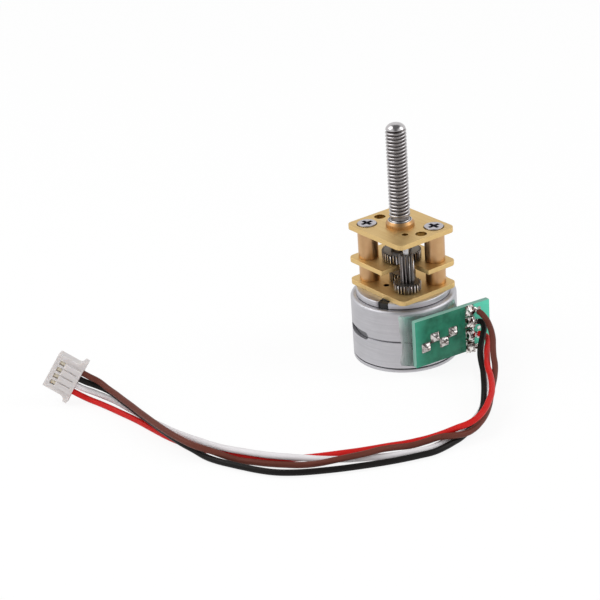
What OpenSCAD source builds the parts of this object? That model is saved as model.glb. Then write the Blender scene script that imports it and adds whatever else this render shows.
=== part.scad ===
// Small tin-can stepper motor with a plate gearbox and an M3 lead screw.
// Millimetres, +Z up along the lead screw, origin at the centre of the can's base.

/* [Motor] */
// Outside diameter of the can
can_d = 15; // [13:0.1:18]
// Height of the can from the base to the top of the upper cup
can_h = 9.3; // [8:0.1:12]
// Height of the seam between the two cups
seam_z = 4.7; // [4.2:0.05:5.2]
// Sheet thickness of the cups
shell_t = 0.5; // [0.4:0.05:0.7]
// Thickness of the base cover
cover_t = 0.45; // [0.3:0.05:0.6]
// Height of the dark groove above the base cover
groove_h = 0.1; // [0.05:0.05:0.2]
// Depth of that groove
groove_depth = 0.3; // [0.2:0.05:0.4]
// Edge radius of the upper cup
can_edge_r = 0.45; // [0.2:0.05:0.6]
// Step from the can's side in to the raised front flange
flange_step = 0.85; // [0.6:0.05:1.5]
// Height of the raised front flange
flange_h = 0.9; // [0.6:0.05:1.2]
// Direction of the notch in the flange, degrees
notch_angle = -64.5; // [-80:0.5:-50]
// Width of the notch
notch_w = 1.5; // [1:0.1:2]
// Radial depth of the notch
notch_depth = 1.4; // [1:0.1:1.8]
// Height of the slot at the seam
slot_h = 1.15; // [0.6:0.05:1.4]
// Height of the slot's middle above the seam
slot_rise = 0.1; // [0:0.05:0.4]
// Direction of the slot's middle, degrees
slot_angle = -106; // [-120:1:-95]
// Angle that the slot spans, degrees
slot_span = 46; // [20:1:50]
// Diameter of the rotor magnet
rotor_d = 6; // [5:0.1:6.5]
// Diameter of the rotor shaft
shaft_d = 1; // [0.8:0.05:1.2]
// Outside diameter of the bearing bushes of the rotor
bearing_d = 3; // [2.6:0.1:3.4]

/* [Gearbox] */
// Length of the three plates
plate_w = 12; // [11:0.1:14]
// Depth of the three plates
plate_d = 10; // [9.4:0.1:12]
// Thickness of the plates
plate_t = 0.7; // [0.5:0.05:1]
// Corner radius of the plates
plate_corner_r = 1; // [0.5:0.1:1.5]
// Length of the lower spacers
lower_gap = 2.65; // [2.4:0.05:3.2]
// Length of the upper spacers
upper_gap = 4.3; // [4:0.05:5]
// Diameter of the spacers
spacer_d = 2.85; // [2.4:0.05:3]
// Place of the spacers along the plate
spacer_x = 3.8; // [3.6:0.05:4.1]
// Place of the spacers across the plate
spacer_y = 2.9; // [2.8:0.05:3.2]
// Shank diameter of the clamp screws
clamp_d = 1.4; // [1.2:0.1:1.6]
// Head diameter of the clamp screws
clamp_head_d = 2.7; // [2.4:0.05:2.8]
// Distance between the two mounting holes
hole_spacing = 9; // [8.6:0.1:9.4]
// Diameter of the mounting holes, M1.6
hole_d = 1.6; // [1.2:0.1:1.8]
// Bushing diameter above the front plate
bush_d = 4; // [3.8:0.1:4.4]
// Height of the bushing above the front plate
bush_h = 0.95; // [0.6:0.05:1.2]

/* [Gears] */
// Module of all the gears
gear_module = 0.15; // [0.14:0.005:0.155]
// Teeth of the gear on the motor shaft
motor_teeth = 23; // [21:1:24]
// Teeth of the wheel of the compound gear
wheel_teeth = 24; // [23:1:26]
// Teeth of the long pinion of the compound gear
pinion_teeth = 11; // [10:1:12]
// Tooth thinning of each gear, for backlash
backlash = 0.03; // [0.02:0.005:0.05]
// Diameter of the fixed arbor
arbor_d = 0.9; // [0.7:0.05:0.9]
// Direction of the arbor from the screw axis, degrees
arbor_angle = -28.9; // [-32:0.1:-26]
// Running clearance of shafts in their bores, on the radius
run_gap = 0.03; // [0.02:0.005:0.04]

/* [Lead screw] */
// Outside diameter of the thread, M3
thread_d = 2.94; // [2.8:0.01:3]
// Reach of the screw above the front plate
screw_reach = 15; // [12:0.05:30]
// Pitch of the thread
thread_pitch = 0.5; // [0.45:0.01:0.55]
// Depth of the thread's grooves
thread_depth = 0.3; // [0.26:0.01:0.32]
// Depth of the undercut below the thread
undercut = 0.25; // [0.15:0.05:0.35]
// Edge radius of the round end
tip_r = 1.15; // [0.8:0.05:1.3]

/* [Board] */
// Length of the circuit board
board_w = 12.5; // [12:0.1:14]
// Height of the circuit board
board_h = 7; // [6.4:0.1:7.4]
// Thickness of the circuit board
board_t = 0.8; // [0.6:0.1:1]
// Direction that the board faces, degrees
board_turn = -6.5; // [-10:0.5:0]
// Space between the can and the back of the board
board_gap = 0.2; // [0.1:0.05:0.5]
// Height of the board's middle above the can's middle
board_rise = 0.3; // [0:0.05:0.5]
// Spacing of the coil pins
pin_pitch = 1.5; // [1.4:0.05:1.6]
// Distance between the two rows of coil pins
pin_rows = 1.12; // [0.9:0.02:1.3]
// Diameter of the coil pins
pin_d = 0.4; // [0.3:0.05:0.5]
// Spacing of the wire joints
pad_pitch = 1.9; // [1.8:0.05:2]

/* [Cord] */
// Diameter of each wire
wire_d = 0.84; // [0.7:0.01:0.86]
// Spacing of the wires in the plug
plug_pitch = 1; // [0.95:0.01:1.05]
// Width of the plug at its flared rear
plug_flare_w = 6.5; // [6.2:0.1:7]
// Width of the plug at its mating end
plug_w = 5.1; // [4.9:0.1:5.5]
// Length of the plug
plug_len = 4.1; // [4:0.1:4.8]
// Thickness of the plug
plug_t = 2.5; // [2.3:0.1:2.8]

/* [Hidden] */
$fn = 64;

// Small overshoot of cutting bodies
cut = 0.1;

// Motor radii and heights
can_r = can_d / 2;
bore_r = can_r - shell_t;
shell_z = cover_t + groove_h;
floor_top = shell_z + shell_t;
roof_z = can_h - shell_t;
flange_r = can_r - flange_step;
flange_top = can_h + flange_h;
shaft_r = shaft_d / 2;
bearing_r = bearing_d / 2;
seam_chamfer = 0.12;
slot_start = bore_r - 2 * shell_t;
flange_edge_r = 0.2;
yoke_t = 0.45;
yoke_gap = 0.05;
yoke_r = bore_r - yoke_gap;
claw_count = 6;
claw_w = 1.1;
claw_t = 0.35;
claw_gap = 0.3;
claw_r = rotor_d / 2 + claw_gap;
claw_clear = 0.5;
bobbin_t = 0.35;
bobbin_gap = 0.05;
bobbin_r = claw_r + claw_t + bobbin_gap;
bobbin_out_r = bore_r - bobbin_gap;
lower_bobbin_top = seam_z - yoke_t;
upper_bobbin_z = seam_z + yoke_t;
coil_margin = 0.3;
rotor_margin = 0.6;
rotor_z = floor_top + rotor_margin;
rotor_top = roof_z - rotor_margin;
bearing_rise = 0.4;
bearing_foot = 0.1;
shaft_foot = 0.2;
tab_drop = 0.15;
tab_gap = 0.1;
tab_r = flange_r - tab_gap;
notch_over = 0.05;

// Gearbox heights
motor_plate_z = flange_top;
motor_plate_top = motor_plate_z + plate_t;
middle_plate_z = motor_plate_top + lower_gap;
middle_plate_top = middle_plate_z + plate_t;
front_plate_z = middle_plate_top + upper_gap;
front_plate_top = front_plate_z + plate_t;
spacer_r = spacer_d / 2;
clamp_r = clamp_d / 2;
clamp_gap = 0.05;
clamp_seat = 0.35;
clamp_head_h = 0.5;
clamp_head_gap = 0.1;
seat_bore_r = clamp_head_d / 2 + clamp_head_gap;
clamp_foot = 0.1;
recess_w = 0.5;
recess_len = 1.75;
recess_depth = 0.4;
spare_hole = [-0.2, -2.8];
spare_hole_r = 0.42;
shaft_hole_r = 1;

// Gear sizes
pressure = 20;
dedendum = 1.25;
pinion_shift = 0.35;
tip_relief = 0.01;
flank_steps = 4;
output_teeth = motor_teeth + wheel_teeth - pinion_teeth;
centre_distance = gear_module * (motor_teeth + wheel_teeth) / 2;
arbor_r = arbor_d / 2;
arbor_x = centre_distance * cos(arbor_angle);
arbor_y = centre_distance * sin(arbor_angle);
arbor_recess = 0.65 * plate_t;
motor_pinion_z = motor_plate_top + 0.1;
motor_pinion_h = 1.3;
shaft_top = motor_pinion_z + motor_pinion_h + 0.5;
wheel_z = motor_plate_top + 0.15;
wheel_h = 1.1;
hub_r = gear_module * (pinion_teeth / 2 - 1) - 0.05;
output_gear_z = middle_plate_top + 0.2;
output_gear_h = 1.2;
pinion_top = output_gear_z + output_gear_h + 0.65;
corner_gap_x = 0.45;
corner_gap_y = 0.5;
pinion_tip_r = gear_module * (pinion_teeth / 2 + 1 + pinion_shift);
notch_x = arbor_x - pinion_tip_r - corner_gap_x;
notch_y = arbor_y + pinion_tip_r + corner_gap_y;
notch_corner_r = 0.4;

// Lead screw sizes
thread_r = thread_d / 2;
journal_r = thread_r + 0.01;
bush_bore_r = journal_r + run_gap;
bush_r = bush_d / 2;
bush_shoulder_r = bush_r + 0.3;
bush_top_r = bush_r - 0.35;
bush_chamfer_h = 0.45;
bush_drop = 0.65;
seat_r = 1;
foot_r = 0.75;
foot_drop = 0.15;
seat_z = middle_plate_top + 0.05;
collar_r = bush_r - 0.1;
collar_h = 0.45;
collar_gap = 0.15;
bush_z = front_plate_z - bush_drop;
bush_top = front_plate_top + bush_h;
undercut_z = bush_top + 0.1;
undercut_h = 0.6;
thread_z = undercut_z + undercut_h;
groove_r = thread_r - thread_depth;
thread_angle = 60;
flank = thread_depth * tan(thread_angle / 2);
crest = thread_pitch / 8;
tip_z = front_plate_top + screw_reach;
round_z = tip_z - tip_r;
thread_turns = floor((round_z - flank - thread_z) / thread_pitch);

// Board places, in the turned frame with +X out of the board
board_back = can_r + board_gap;
board_face = board_back + board_t;
board_z = (can_h - board_h) / 2 + board_rise;
board_left = -3.75;
pin_mid = 0.25;
pin_tip = 0.55;
pin_start = bore_r + 0.05;
solder_r = 0.65;
solder_tip_r = 0.25;
solder_h = 0.5;
window_w = 6.2;
window_h = 2.2;
tongue_gap = 0.05;
block_half = 3.75;
block_flare = 1.3;
block_margin = 0.4;
block_depth = 2.4;
block_root = can_r - block_depth;
pad_s = 5.3;
pad_mid = board_z + board_h / 2 - 0.05;
pad_r = 0.85;
pad_tip_r = 0.4;
pad_h = 0.8;
core_r = 0.26;
core_grip = 0.3;
wire_r = wire_d / 2;
wire_lift = 0.03;
wire_strip = 0.8;

// Plug places
plug_heading = 221;
plug_tilt = 30.7;
plug_roll = 74;
plug_xy = [-19.35, -42.9];
plug_z = cos(plug_tilt) * (plug_flare_w * sin(plug_roll) + plug_t * cos(plug_roll)) / 2;
plug_grip = 0.5;
ear_len = 0.6;
deck_h = 0.4;
deck_margin = 0.3;
deck_end = 1.5;
window_len = 0.8;
window_wall = deck_end - window_len;
window_side = 0.66;
window_depth = 0.9;
contact_w = 0.5;
contact_h = 0.6;
groove_w = 0.2;
groove_cut = 0.25;
groove_start = 0.5;
mouth = 0.5;
mouth_depth = 0.6;
contacts = [-1.5, -0.5, 0.5, 1.5];

// Wire routes on the table, from the plug to the board
tube_sides = 8;
brown_route = [
    [-18.45, -41.5, 3.7], [-17.45, -40.75, 3.1], [-15.45, -40.45, 2.6], [-13.35, -40.4, 2.45],
    [-11.25, -40.45, 2.35], [-9.15, -40.55, 2.35], [-7.05, -40.7, 2.35], [-4.95, -40.85, 2.4],
    [-2.9, -40.95, 2.4], [-0.8, -41, 2.4], [1.3, -40.95, 2.35], [3.4, -40.7, 2.25],
    [5.4, -40.1, 1.95], [7.05, -38.95, 1.5], [8.65, -37.7, 0.85], [10.4, -36.65, 0.5],
    [12.2, -35.5, 0.5], [13.9, -34.3, 0.5], [15.5, -32.95, 0.5], [17, -31.5, 0.5],
    [18.4, -29.95, 0.7], [19.75, -28.35, 1.1], [20.9, -26.65, 1.4], [21.75, -24.75, 1.5],
    [22.3, -22.7, 1.5], [22.75, -20.65, 1.2], [23.4, -18.7, 0.95], [24.25, -16.8, 1.2],
    [25, -15.25, 1.5], [25.9, -13.7, 1.5], [26.3, -12.05, 1.3], [26.15, -10.3, 1.3],
    [25.65, -8.65, 1.5], [24.85, -7.1, 1.7], [23.85, -5.65, 1.9], [22.75, -4.35, 2.1],
    [21.55, -3.05, 2.3], [20.45, -1.75, 2.6], [19.35, -0.45, 3], [18.2, 0.7, 3.65],
    [16.9, 1.65, 4.3], [15.65, 2.7, 4.95], [14.7, 3.55, 5.4], [13.65, 4.3, 5.85],
    [12.55, 4.95, 6.2], [11.35, 5.45, 6.65], [10.15, 5.5, 7.25]
];
black_route = [
    [-18.75, -41.95, 2.9], [-18.1, -40.9, 2.25], [-16.25, -40.05, 1.8], [-14.2, -39.9, 1.6],
    [-12.1, -39.95, 1.45], [-10, -40, 1.4], [-7.9, -40.15, 1.4], [-5.8, -40.25, 1.45],
    [-3.7, -40.35, 1.45], [-1.6, -40.4, 1.4], [0.5, -40.4, 1.35], [2.55, -40.2, 1.15],
    [4.6, -39.7, 0.8], [6.6, -39.3, 0.5], [8.65, -38.8, 0.5], [10.6, -38, 0.5],
    [12.5, -37.15, 0.5], [14.4, -36.2, 0.5], [16.15, -35.05, 0.5], [17.65, -33.6, 0.5],
    [18.95, -31.95, 0.5], [20.1, -30.2, 0.5], [21.2, -28.4, 0.5], [22.2, -26.55, 0.5],
    [23.15, -24.7, 0.5], [24.05, -22.8, 0.5], [24.85, -20.85, 0.5], [25.55, -18.85, 0.5],
    [26.05, -17.2, 0.5], [26.1, -15.45, 0.5], [25.9, -13.7, 0.5], [25.6, -12, 0.5],
    [25.25, -10.3, 0.85], [24.65, -8.7, 1.15], [23.8, -7.15, 1.35], [22.8, -5.75, 1.45],
    [21.6, -4.5, 1.6], [20.35, -3.3, 1.75], [19.05, -2.1, 1.95], [17.75, -1, 2.25],
    [16.4, 0.1, 2.55], [15, 1.05, 3], [14.1, 1.7, 3.5], [13.25, 2.5, 4],
    [12.5, 3.4, 4.45], [11.8, 4.3, 4.9], [11.05, 5.2, 5.4], [10.05, 5.65, 5.8]
];
white_route = [
    [-18.9, -42.5, 2.05], [-18.15, -41.5, 1.45], [-16.45, -40.4, 0.85], [-14.5, -39.8, 0.6],
    [-12.4, -39.6, 0.5], [-10.3, -39.45, 0.5], [-8.2, -39.35, 0.5], [-6.1, -39.15, 0.5],
    [-4.05, -38.85, 0.5], [-1.95, -38.7, 0.6], [0.15, -38.6, 0.85], [2.2, -38.5, 1.15],
    [4.3, -38.25, 1.4], [6.3, -37.75, 1.45], [8.25, -36.95, 1.45], [10.1, -35.95, 1.45],
    [11.9, -34.85, 1.4], [13.6, -33.65, 1.35], [15.15, -32.25, 1.25], [16.5, -30.65, 1],
    [17.75, -29, 0.7], [19.05, -27.35, 0.55], [20.35, -25.7, 0.5], [21.55, -23.95, 0.5],
    [22.75, -22.25, 0.5], [23.7, -20.4, 0.5], [24.4, -18.75, 0.5], [25, -17.15, 0.5],
    [25.1, -15.4, 0.5], [24.85, -13.65, 0.5], [24.55, -11.9, 0.5], [24.15, -10.2, 0.5],
    [23.6, -8.55, 0.5], [22.85, -6.95, 0.5], [22, -5.45, 0.5], [20.9, -4.05, 0.5],
    [19.75, -2.8, 0.5], [18.5, -1.55, 0.5], [17.3, -0.3, 0.5], [16.05, 0.95, 0.6],
    [14.7, 2.05, 0.8], [13.75, 2.8, 1], [12.8, 3.55, 1.25], [12, 4.4, 1.6],
    [11.2, 5.3, 1.85], [10.1, 5.65, 2.05]
];
red_route = [
    [-19, -43.1, 1.25], [-17.95, -42.35, 0.7], [-15.95, -41.7, 0.5], [-13.9, -41.35, 0.5],
    [-11.8, -41.05, 0.5], [-9.75, -40.75, 0.5], [-7.65, -40.5, 0.5], [-5.55, -40.35, 0.5],
    [-3.45, -40.2, 0.5], [-1.35, -40, 0.5], [0.7, -39.65, 0.5], [2.75, -39.15, 0.5],
    [4.7, -38.45, 0.5], [6.6, -37.55, 0.5], [8.45, -36.55, 0.5], [10.25, -35.5, 0.5],
    [12, -34.3, 0.5], [13.55, -32.9, 0.5], [14.9, -31.3, 0.5], [16.1, -29.55, 0.5],
    [17.15, -27.75, 0.5], [18.15, -25.9, 0.5], [19.15, -24.05, 0.5], [20.05, -22.15, 0.5],
    [20.9, -20.25, 0.5], [21.9, -18.4, 0.55], [22.8, -16.9, 0.75], [23.7, -15.45, 1.05],
    [24.6, -14, 1.5], [25.4, -12.55, 2], [26.1, -11, 2.4], [26.05, -9.3, 2.75],
    [25.45, -7.65, 3.05], [24.55, -6.2, 3.25], [23.5, -4.8, 3.35], [22.25, -3.55, 3.45],
    [20.95, -2.45, 3.55], [19.5, -1.4, 3.7], [18.05, -0.45, 3.75], [16.7, 0.65, 3.7],
    [15.4, 1.8, 3.75], [14.4, 2.7, 3.8], [13.45, 3.65, 3.85], [12.5, 4.6, 3.9],
    [11.45, 5.4, 3.95], [10.15, 5.6, 3.95]
];

// Colours
steel_grey = [0.72, 0.72, 0.74];
dark_steel = [0.32, 0.32, 0.33];
brass_gold = [0.80, 0.64, 0.32];
bronze = [0.72, 0.45, 0.24];
board_green = [0.10, 0.55, 0.40];
plug_white = [0.93, 0.92, 0.91];
resin = [0.70, 0.76, 0.72];
black_plastic = [0.06, 0.06, 0.06];
copper = [0.72, 0.40, 0.22];

// Directions of the plug: level heading, to its left, down from it, mating way, width way
plug_ahead = [cos(plug_heading), sin(plug_heading), 0];
plug_left = [-sin(plug_heading), cos(plug_heading), 0];
plug_under = plug_ahead * sin(plug_tilt) - [0, 0, cos(plug_tilt)];
plug_fore = plug_ahead * cos(plug_tilt) + [0, 0, sin(plug_tilt)];
plug_side = plug_left * cos(plug_roll) + plug_under * sin(plug_roll);
plug_at = [plug_xy[0], plug_xy[1], plug_z];

// Where a wire ends inside the plug
function plug_end(k) = plug_at + plug_side * k * plug_pitch + plug_fore * plug_grip;

// A place given out from the board's middle line, along it and up
function on_board(out, along, up) = [
    out * cos(board_turn) - along * sin(board_turn),
    out * sin(board_turn) + along * cos(board_turn),
    up
];

// Height of a wire joint, counted from the top one
function pad_height(k) = pad_mid + pad_pitch * (1.5 - k);

// Where the insulation of a wire ends beside its solder joint
function board_end(k) = on_board(board_face + wire_r + wire_lift, pad_s + wire_strip, pad_height(k));

// Involute of an angle, in degrees
function involute(a) = tan(a) * 180 / PI - a;

// Half of the angle that a tooth fills at one radius
function tooth_half(r, pitch_r, base_r, half) =
    half + involute(pressure) - involute(acos(min(1, base_r / max(r, base_r))));

// Outline of a spur gear with profile shift, one tooth on the direction of phase
function gear_outline(teeth, shift, phase) =
    let (
        pitch_r = gear_module * teeth / 2,
        base_r = pitch_r * cos(pressure),
        tip_r = pitch_r + gear_module * (1 + shift) - tip_relief,
        root_r = pitch_r - gear_module * (dedendum - shift),
        start_r = max(base_r, root_r),
        width = gear_module * (PI / 2 + 2 * shift * tan(pressure)) - backlash,
        half = width / (2 * pitch_r) * 180 / PI,
        rise = [for (k = [0 : flank_steps]) start_r + (tip_r - start_r) * k / flank_steps],
        radii = root_r < base_r ? concat([root_r], rise) : rise,
        last = len(radii) - 1
    )
    [
        for (i = [0 : teeth - 1], side = [-1, 1], k = [0 : last])
            let (
                r = radii[side < 0 ? k : last - k],
                a = phase + 360 * i / teeth + side * tooth_half(r, pitch_r, base_r, half)
            )
            [r * cos(a), r * sin(a)]
    ];

// Unit vector and ring of a swept tube
function unit(v) = v / norm(v);
function along(p, i) = unit(p[min(i + 1, len(p) - 1)] - p[max(i - 1, 0)]);
function ring(c, t, r) =
    let (s = unit(cross(t, [0, 0, 1])), n = cross(s, t))
    [for (k = [0 : tube_sides - 1])
        let (a = 360 * k / tube_sides)
        c + r * (cos(a) * s + sin(a) * n)];

// Round tube along a list of points
module tube(points, r) {
    rows = len(points);
    rings = [for (i = [0 : rows - 1]) each ring(points[i], along(points, i), r)];
    walls = [
        for (i = [0 : rows - 2], k = [0 : tube_sides - 1])
            let (a = i * tube_sides, b = a + tube_sides, j = (k + 1) % tube_sides)
            [a + k, a + j, b + j, b + k]
    ];
    near_end = [for (k = [tube_sides - 1 : -1 : 0]) k];
    far_end = [for (k = [0 : tube_sides - 1]) (rows - 1) * tube_sides + k];
    polyhedron(points = rings, faces = concat(walls, [near_end, far_end]), convexity = 10);
}

// Upright cylinder from one height to another
module post(r, z0, z1, sides = 64) {
    translate([0, 0, z0])
        cylinder(r = r, h = z1 - z0, $fn = sides);
}

// Upright tube between two radii
module pipe(r_out, r_in, z0, z1) {
    difference() {
        post(r_out, z0, z1);
        post(r_in, z0 - cut, z1 + cut);
    }
}

// Outline of a plate with round corners
module plate_outline() {
    r = plate_corner_r;
    square([plate_w - 2 * r, plate_d], center = true);
    square([plate_w, plate_d - 2 * r], center = true);
    for (x = [-1, 1], y = [-1, 1])
        translate([x * (plate_w / 2 - r), y * (plate_d / 2 - r)])
            circle(r = r, $fn = 32);
}

// The two places of spacers and clamp screws
module at_spacers() {
    for (k = [-1, 1])
        translate([k * spacer_x, k * spacer_y, 0])
            children();
}

// The arbor's place
module at_arbor() {
    translate([arbor_x, arbor_y, 0])
        children();
}

// The board's turned frame
module on_board_frame() {
    rotate([0, 0, board_turn])
        children();
}

// The four coil pins, in two staggered rows
module at_pins() {
    for (k = [0 : 3])
        translate([0, pin_mid + (k - 1.5) * pin_pitch, seam_z + (k % 2 - 0.5) * pin_rows])
            rotate([0, 90, 0])
                children();
}

// The plug's own frame: +X to the mating end, +Z out of the visible face
module at_plug() {
    translate(plug_at)
        rotate([-plug_roll, -plug_tilt, plug_heading])
            children();
}

// Opening at the seam with round ends, cut through both cups
module seam_slot() {
    span = 2 * can_r * sin(slot_span / 2) - slot_h;
    rotate([0, 0, slot_angle])
        translate([slot_start, 0, seam_z + slot_rise])
            rotate([90, 0, 90])
                linear_extrude(can_r) {
                    square([span, slot_h], center = true);
                    for (k = [-1, 1])
                        translate([k * span / 2, 0])
                            circle(d = slot_h, $fn = 32);
                }
}

// Opening for the coil pins in the board's direction
module pin_window(gap = 0) {
    on_board_frame()
        translate([can_r - 2 * shell_t, -window_w / 2 + gap, seam_z - window_h / 2 + gap])
            cube([3 * shell_t, window_w - 2 * gap, window_h - 2 * gap]);
}

// Ring of claw poles around the rotor
module claws(z0, z1, phase) {
    intersection() {
        pipe(claw_r + claw_t, claw_r, z0, z1);
        for (k = [0 : claw_count - 1])
            rotate([0, 0, phase + 360 * k / claw_count])
                translate([0, -claw_w / 2, z0 - cut])
                    cube([can_r, claw_w, z1 - z0 + 2 * cut]);
    }
}

// Notch of the flange, also the room of the bobbin's tab
module notch_block(gap, z0, z1) {
    rotate([0, 0, notch_angle])
        translate([flange_r - notch_depth + gap, -notch_w / 2 + gap, z0])
            cube([notch_depth + notch_over, notch_w - 2 * gap, z1 - z0]);
}

module bottom_cover() {
    color(steel_grey)
        difference() {
            union() {
                post(can_r, 0, cover_t);
                post(can_r - groove_depth, cover_t - cut, shell_z);
            }
            post(bearing_r, -cut, shell_z + cut);
        }
}

module lower_shell() {
    c = seam_chamfer;
    color(steel_grey)
        difference() {
            union() {
                rotate_extrude()
                    polygon([[bearing_r, shell_z], [can_r - c, shell_z], [can_r, shell_z + c],
                             [can_r, seam_z - c], [can_r - c, seam_z], [bore_r, seam_z],
                             [bore_r, floor_top], [bearing_r, floor_top]]);
                claws(floor_top - cut, lower_bobbin_top - claw_clear, 0);
            }
            seam_slot();
            pin_window();
        }
}

module upper_shell() {
    c = seam_chamfer;
    e = can_edge_r;
    color(steel_grey)
        difference() {
            union() {
                rotate_extrude()
                    difference() {
                        union() {
                            polygon([[bearing_r, seam_z], [can_r - c, seam_z], [can_r, seam_z + c],
                                     [can_r, can_h - e], [can_r - e, can_h - e],
                                     [can_r - e, can_h], [bearing_r, can_h]]);
                            translate([can_r - e, can_h - e])
                                circle(r = e);
                        }
                        translate([0, seam_z - cut])
                            square([bore_r, roof_z - seam_z + cut]);
                    }
                claws(upper_bobbin_z + claw_clear, roof_z + cut, 180 / claw_count);
            }
            seam_slot();
            pin_window();
            notch_block(0, roof_z - cut, can_h + cut);
        }
}

module front_flange() {
    e = flange_edge_r;
    color(steel_grey)
        difference() {
            rotate_extrude() {
                translate([bearing_r, can_h])
                    square([flange_r - bearing_r, flange_h - e]);
                translate([bearing_r, can_h])
                    square([flange_r - e - bearing_r, flange_h]);
                translate([flange_r - e, flange_top - e])
                    circle(r = e);
            }
            notch_block(0, can_h - cut, flange_top + cut);
        }
}

// Spool with two flanges
module spool(z0, z1) {
    pipe(bobbin_r + bobbin_t, bobbin_r, z0, z1);
    pipe(bobbin_out_r, bobbin_r, z0, z0 + bobbin_t);
    pipe(bobbin_out_r, bobbin_r, z1 - bobbin_t, z1);
}

module lower_bobbin() {
    color(black_plastic)
        spool(floor_top, lower_bobbin_top);
}

module upper_bobbin() {
    color(black_plastic) {
        spool(upper_bobbin_z, roof_z);
        intersection() {
            notch_block(tab_gap, roof_z - bobbin_t, flange_top - tab_drop);
            post(tab_r, roof_z - bobbin_t, flange_top);
        }
    }
}

module lower_coil() {
    color(copper)
        pipe(bobbin_out_r - coil_margin, bobbin_r + bobbin_t,
             floor_top + bobbin_t, lower_bobbin_top - bobbin_t);
}

module upper_coil() {
    color(copper)
        pipe(bobbin_out_r - coil_margin, bobbin_r + bobbin_t,
             upper_bobbin_z + bobbin_t, roof_z - bobbin_t);
}

module lower_yoke() {
    color(dark_steel) {
        pipe(yoke_r, claw_r, lower_bobbin_top, seam_z);
        claws(floor_top + claw_clear, lower_bobbin_top + cut, 180 / claw_count);
    }
}

module upper_yoke() {
    color(dark_steel) {
        pipe(yoke_r, claw_r, seam_z, upper_bobbin_z);
        claws(upper_bobbin_z - cut, roof_z - claw_clear, 0);
    }
}

module rear_bearing() {
    color(bronze)
        pipe(bearing_r, shaft_r + run_gap, bearing_foot, floor_top + bearing_rise);
}

module front_bearing() {
    color(bronze)
        pipe(bearing_r, shaft_r + run_gap, roof_z - bearing_rise, flange_top);
}

module rotor_magnet() {
    color(dark_steel)
        pipe(rotor_d / 2, shaft_r, rotor_z, rotor_top);
}

module rotor_shaft() {
    color(steel_grey)
        post(shaft_r, shaft_foot, shaft_top);
}

module motor_pinion() {
    color(dark_steel)
        difference() {
            translate([0, 0, motor_pinion_z])
                linear_extrude(motor_pinion_h)
                    polygon(gear_outline(motor_teeth, 0, arbor_angle));
            post(shaft_r, motor_pinion_z - cut, motor_pinion_z + motor_pinion_h + cut);
        }
}

module motor_plate() {
    color(brass_gold)
        difference() {
            translate([0, 0, motor_plate_z])
                linear_extrude(plate_t)
                    plate_outline();
            post(shaft_hole_r, motor_plate_z - cut, motor_plate_top + cut);
            at_arbor()
                post(arbor_r, motor_plate_z - cut, motor_plate_top + cut);
            at_spacers()
                post(clamp_r, motor_plate_z - cut, motor_plate_top + cut);
            translate([spare_hole[0], spare_hole[1], 0])
                post(spare_hole_r, motor_plate_z - cut, motor_plate_top + cut);
        }
}

// Corner cut of the middle plate, with a round inner corner
module corner_cut() {
    r = notch_corner_r;
    translate([notch_x + r, notch_y - plate_d])
        square([plate_w, plate_d]);
    translate([notch_x, notch_y - r - plate_d])
        square([plate_w, plate_d]);
    translate([notch_x + r, notch_y - r])
        circle(r = r, $fn = 32);
}

module middle_plate() {
    color(brass_gold)
        difference() {
            translate([0, 0, middle_plate_z])
                linear_extrude(plate_t)
                    difference() {
                        plate_outline();
                        corner_cut();
                    }
            post(foot_r + run_gap, middle_plate_z - cut, middle_plate_top + cut);
            at_spacers()
                post(clamp_r + clamp_gap, middle_plate_z - cut, middle_plate_top + cut);
        }
}

module front_plate() {
    color(brass_gold)
        difference() {
            translate([0, 0, front_plate_z])
                linear_extrude(plate_t)
                    plate_outline();
            post(bush_r, front_plate_z - cut, front_plate_top + cut);
            at_arbor()
                post(arbor_r, front_plate_z - cut, front_plate_top + cut);
            at_spacers() {
                post(clamp_r + clamp_gap, front_plate_z - cut, front_plate_top + cut);
                post(seat_bore_r, front_plate_top - clamp_seat, front_plate_top + cut);
            }
            for (k = [-1, 1])
                translate([k * hole_spacing / 2, 0, 0])
                    post(hole_d / 2, front_plate_z - cut, front_plate_top + cut);
        }
}

module lower_spacers() {
    color(brass_gold)
        at_spacers()
            pipe(spacer_r, clamp_r + clamp_gap, motor_plate_top, middle_plate_z);
}

module upper_spacers() {
    color(brass_gold)
        at_spacers()
            pipe(spacer_r, clamp_r + clamp_gap, middle_plate_top, front_plate_z);
}

module clamp_screws() {
    head_z = front_plate_top - clamp_seat;
    head_top = head_z + clamp_head_h;
    color(steel_grey)
        at_spacers()
            difference() {
                union() {
                    post(clamp_r, motor_plate_z + clamp_foot, head_z + cut);
                    post(clamp_head_d / 2, head_z, head_top);
                }
                for (a = [0, 90])
                    rotate([0, 0, a])
                        translate([-recess_len / 2, -recess_w / 2, head_top - recess_depth])
                            cube([recess_len, recess_w, recess_depth + cut]);
            }
}

module gear_arbor() {
    color(steel_grey)
        at_arbor()
            post(arbor_r, motor_plate_z, front_plate_top - arbor_recess);
}

module compound_wheel() {
    color(dark_steel)
        at_arbor()
            difference() {
                translate([0, 0, wheel_z])
                    linear_extrude(wheel_h)
                        polygon(gear_outline(wheel_teeth, 0, arbor_angle + 180 + 180 / wheel_teeth));
                post(hub_r, wheel_z - cut, wheel_z + wheel_h + cut);
            }
}

module compound_pinion() {
    color(dark_steel)
        at_arbor()
            difference() {
                union() {
                    post(hub_r, wheel_z, wheel_z + wheel_h + cut);
                    translate([0, 0, wheel_z + wheel_h])
                        linear_extrude(pinion_top - wheel_z - wheel_h)
                            polygon(gear_outline(pinion_teeth, pinion_shift, arbor_angle + 180));
                }
                post(arbor_r + run_gap, wheel_z - cut, pinion_top + cut);
            }
}

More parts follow.
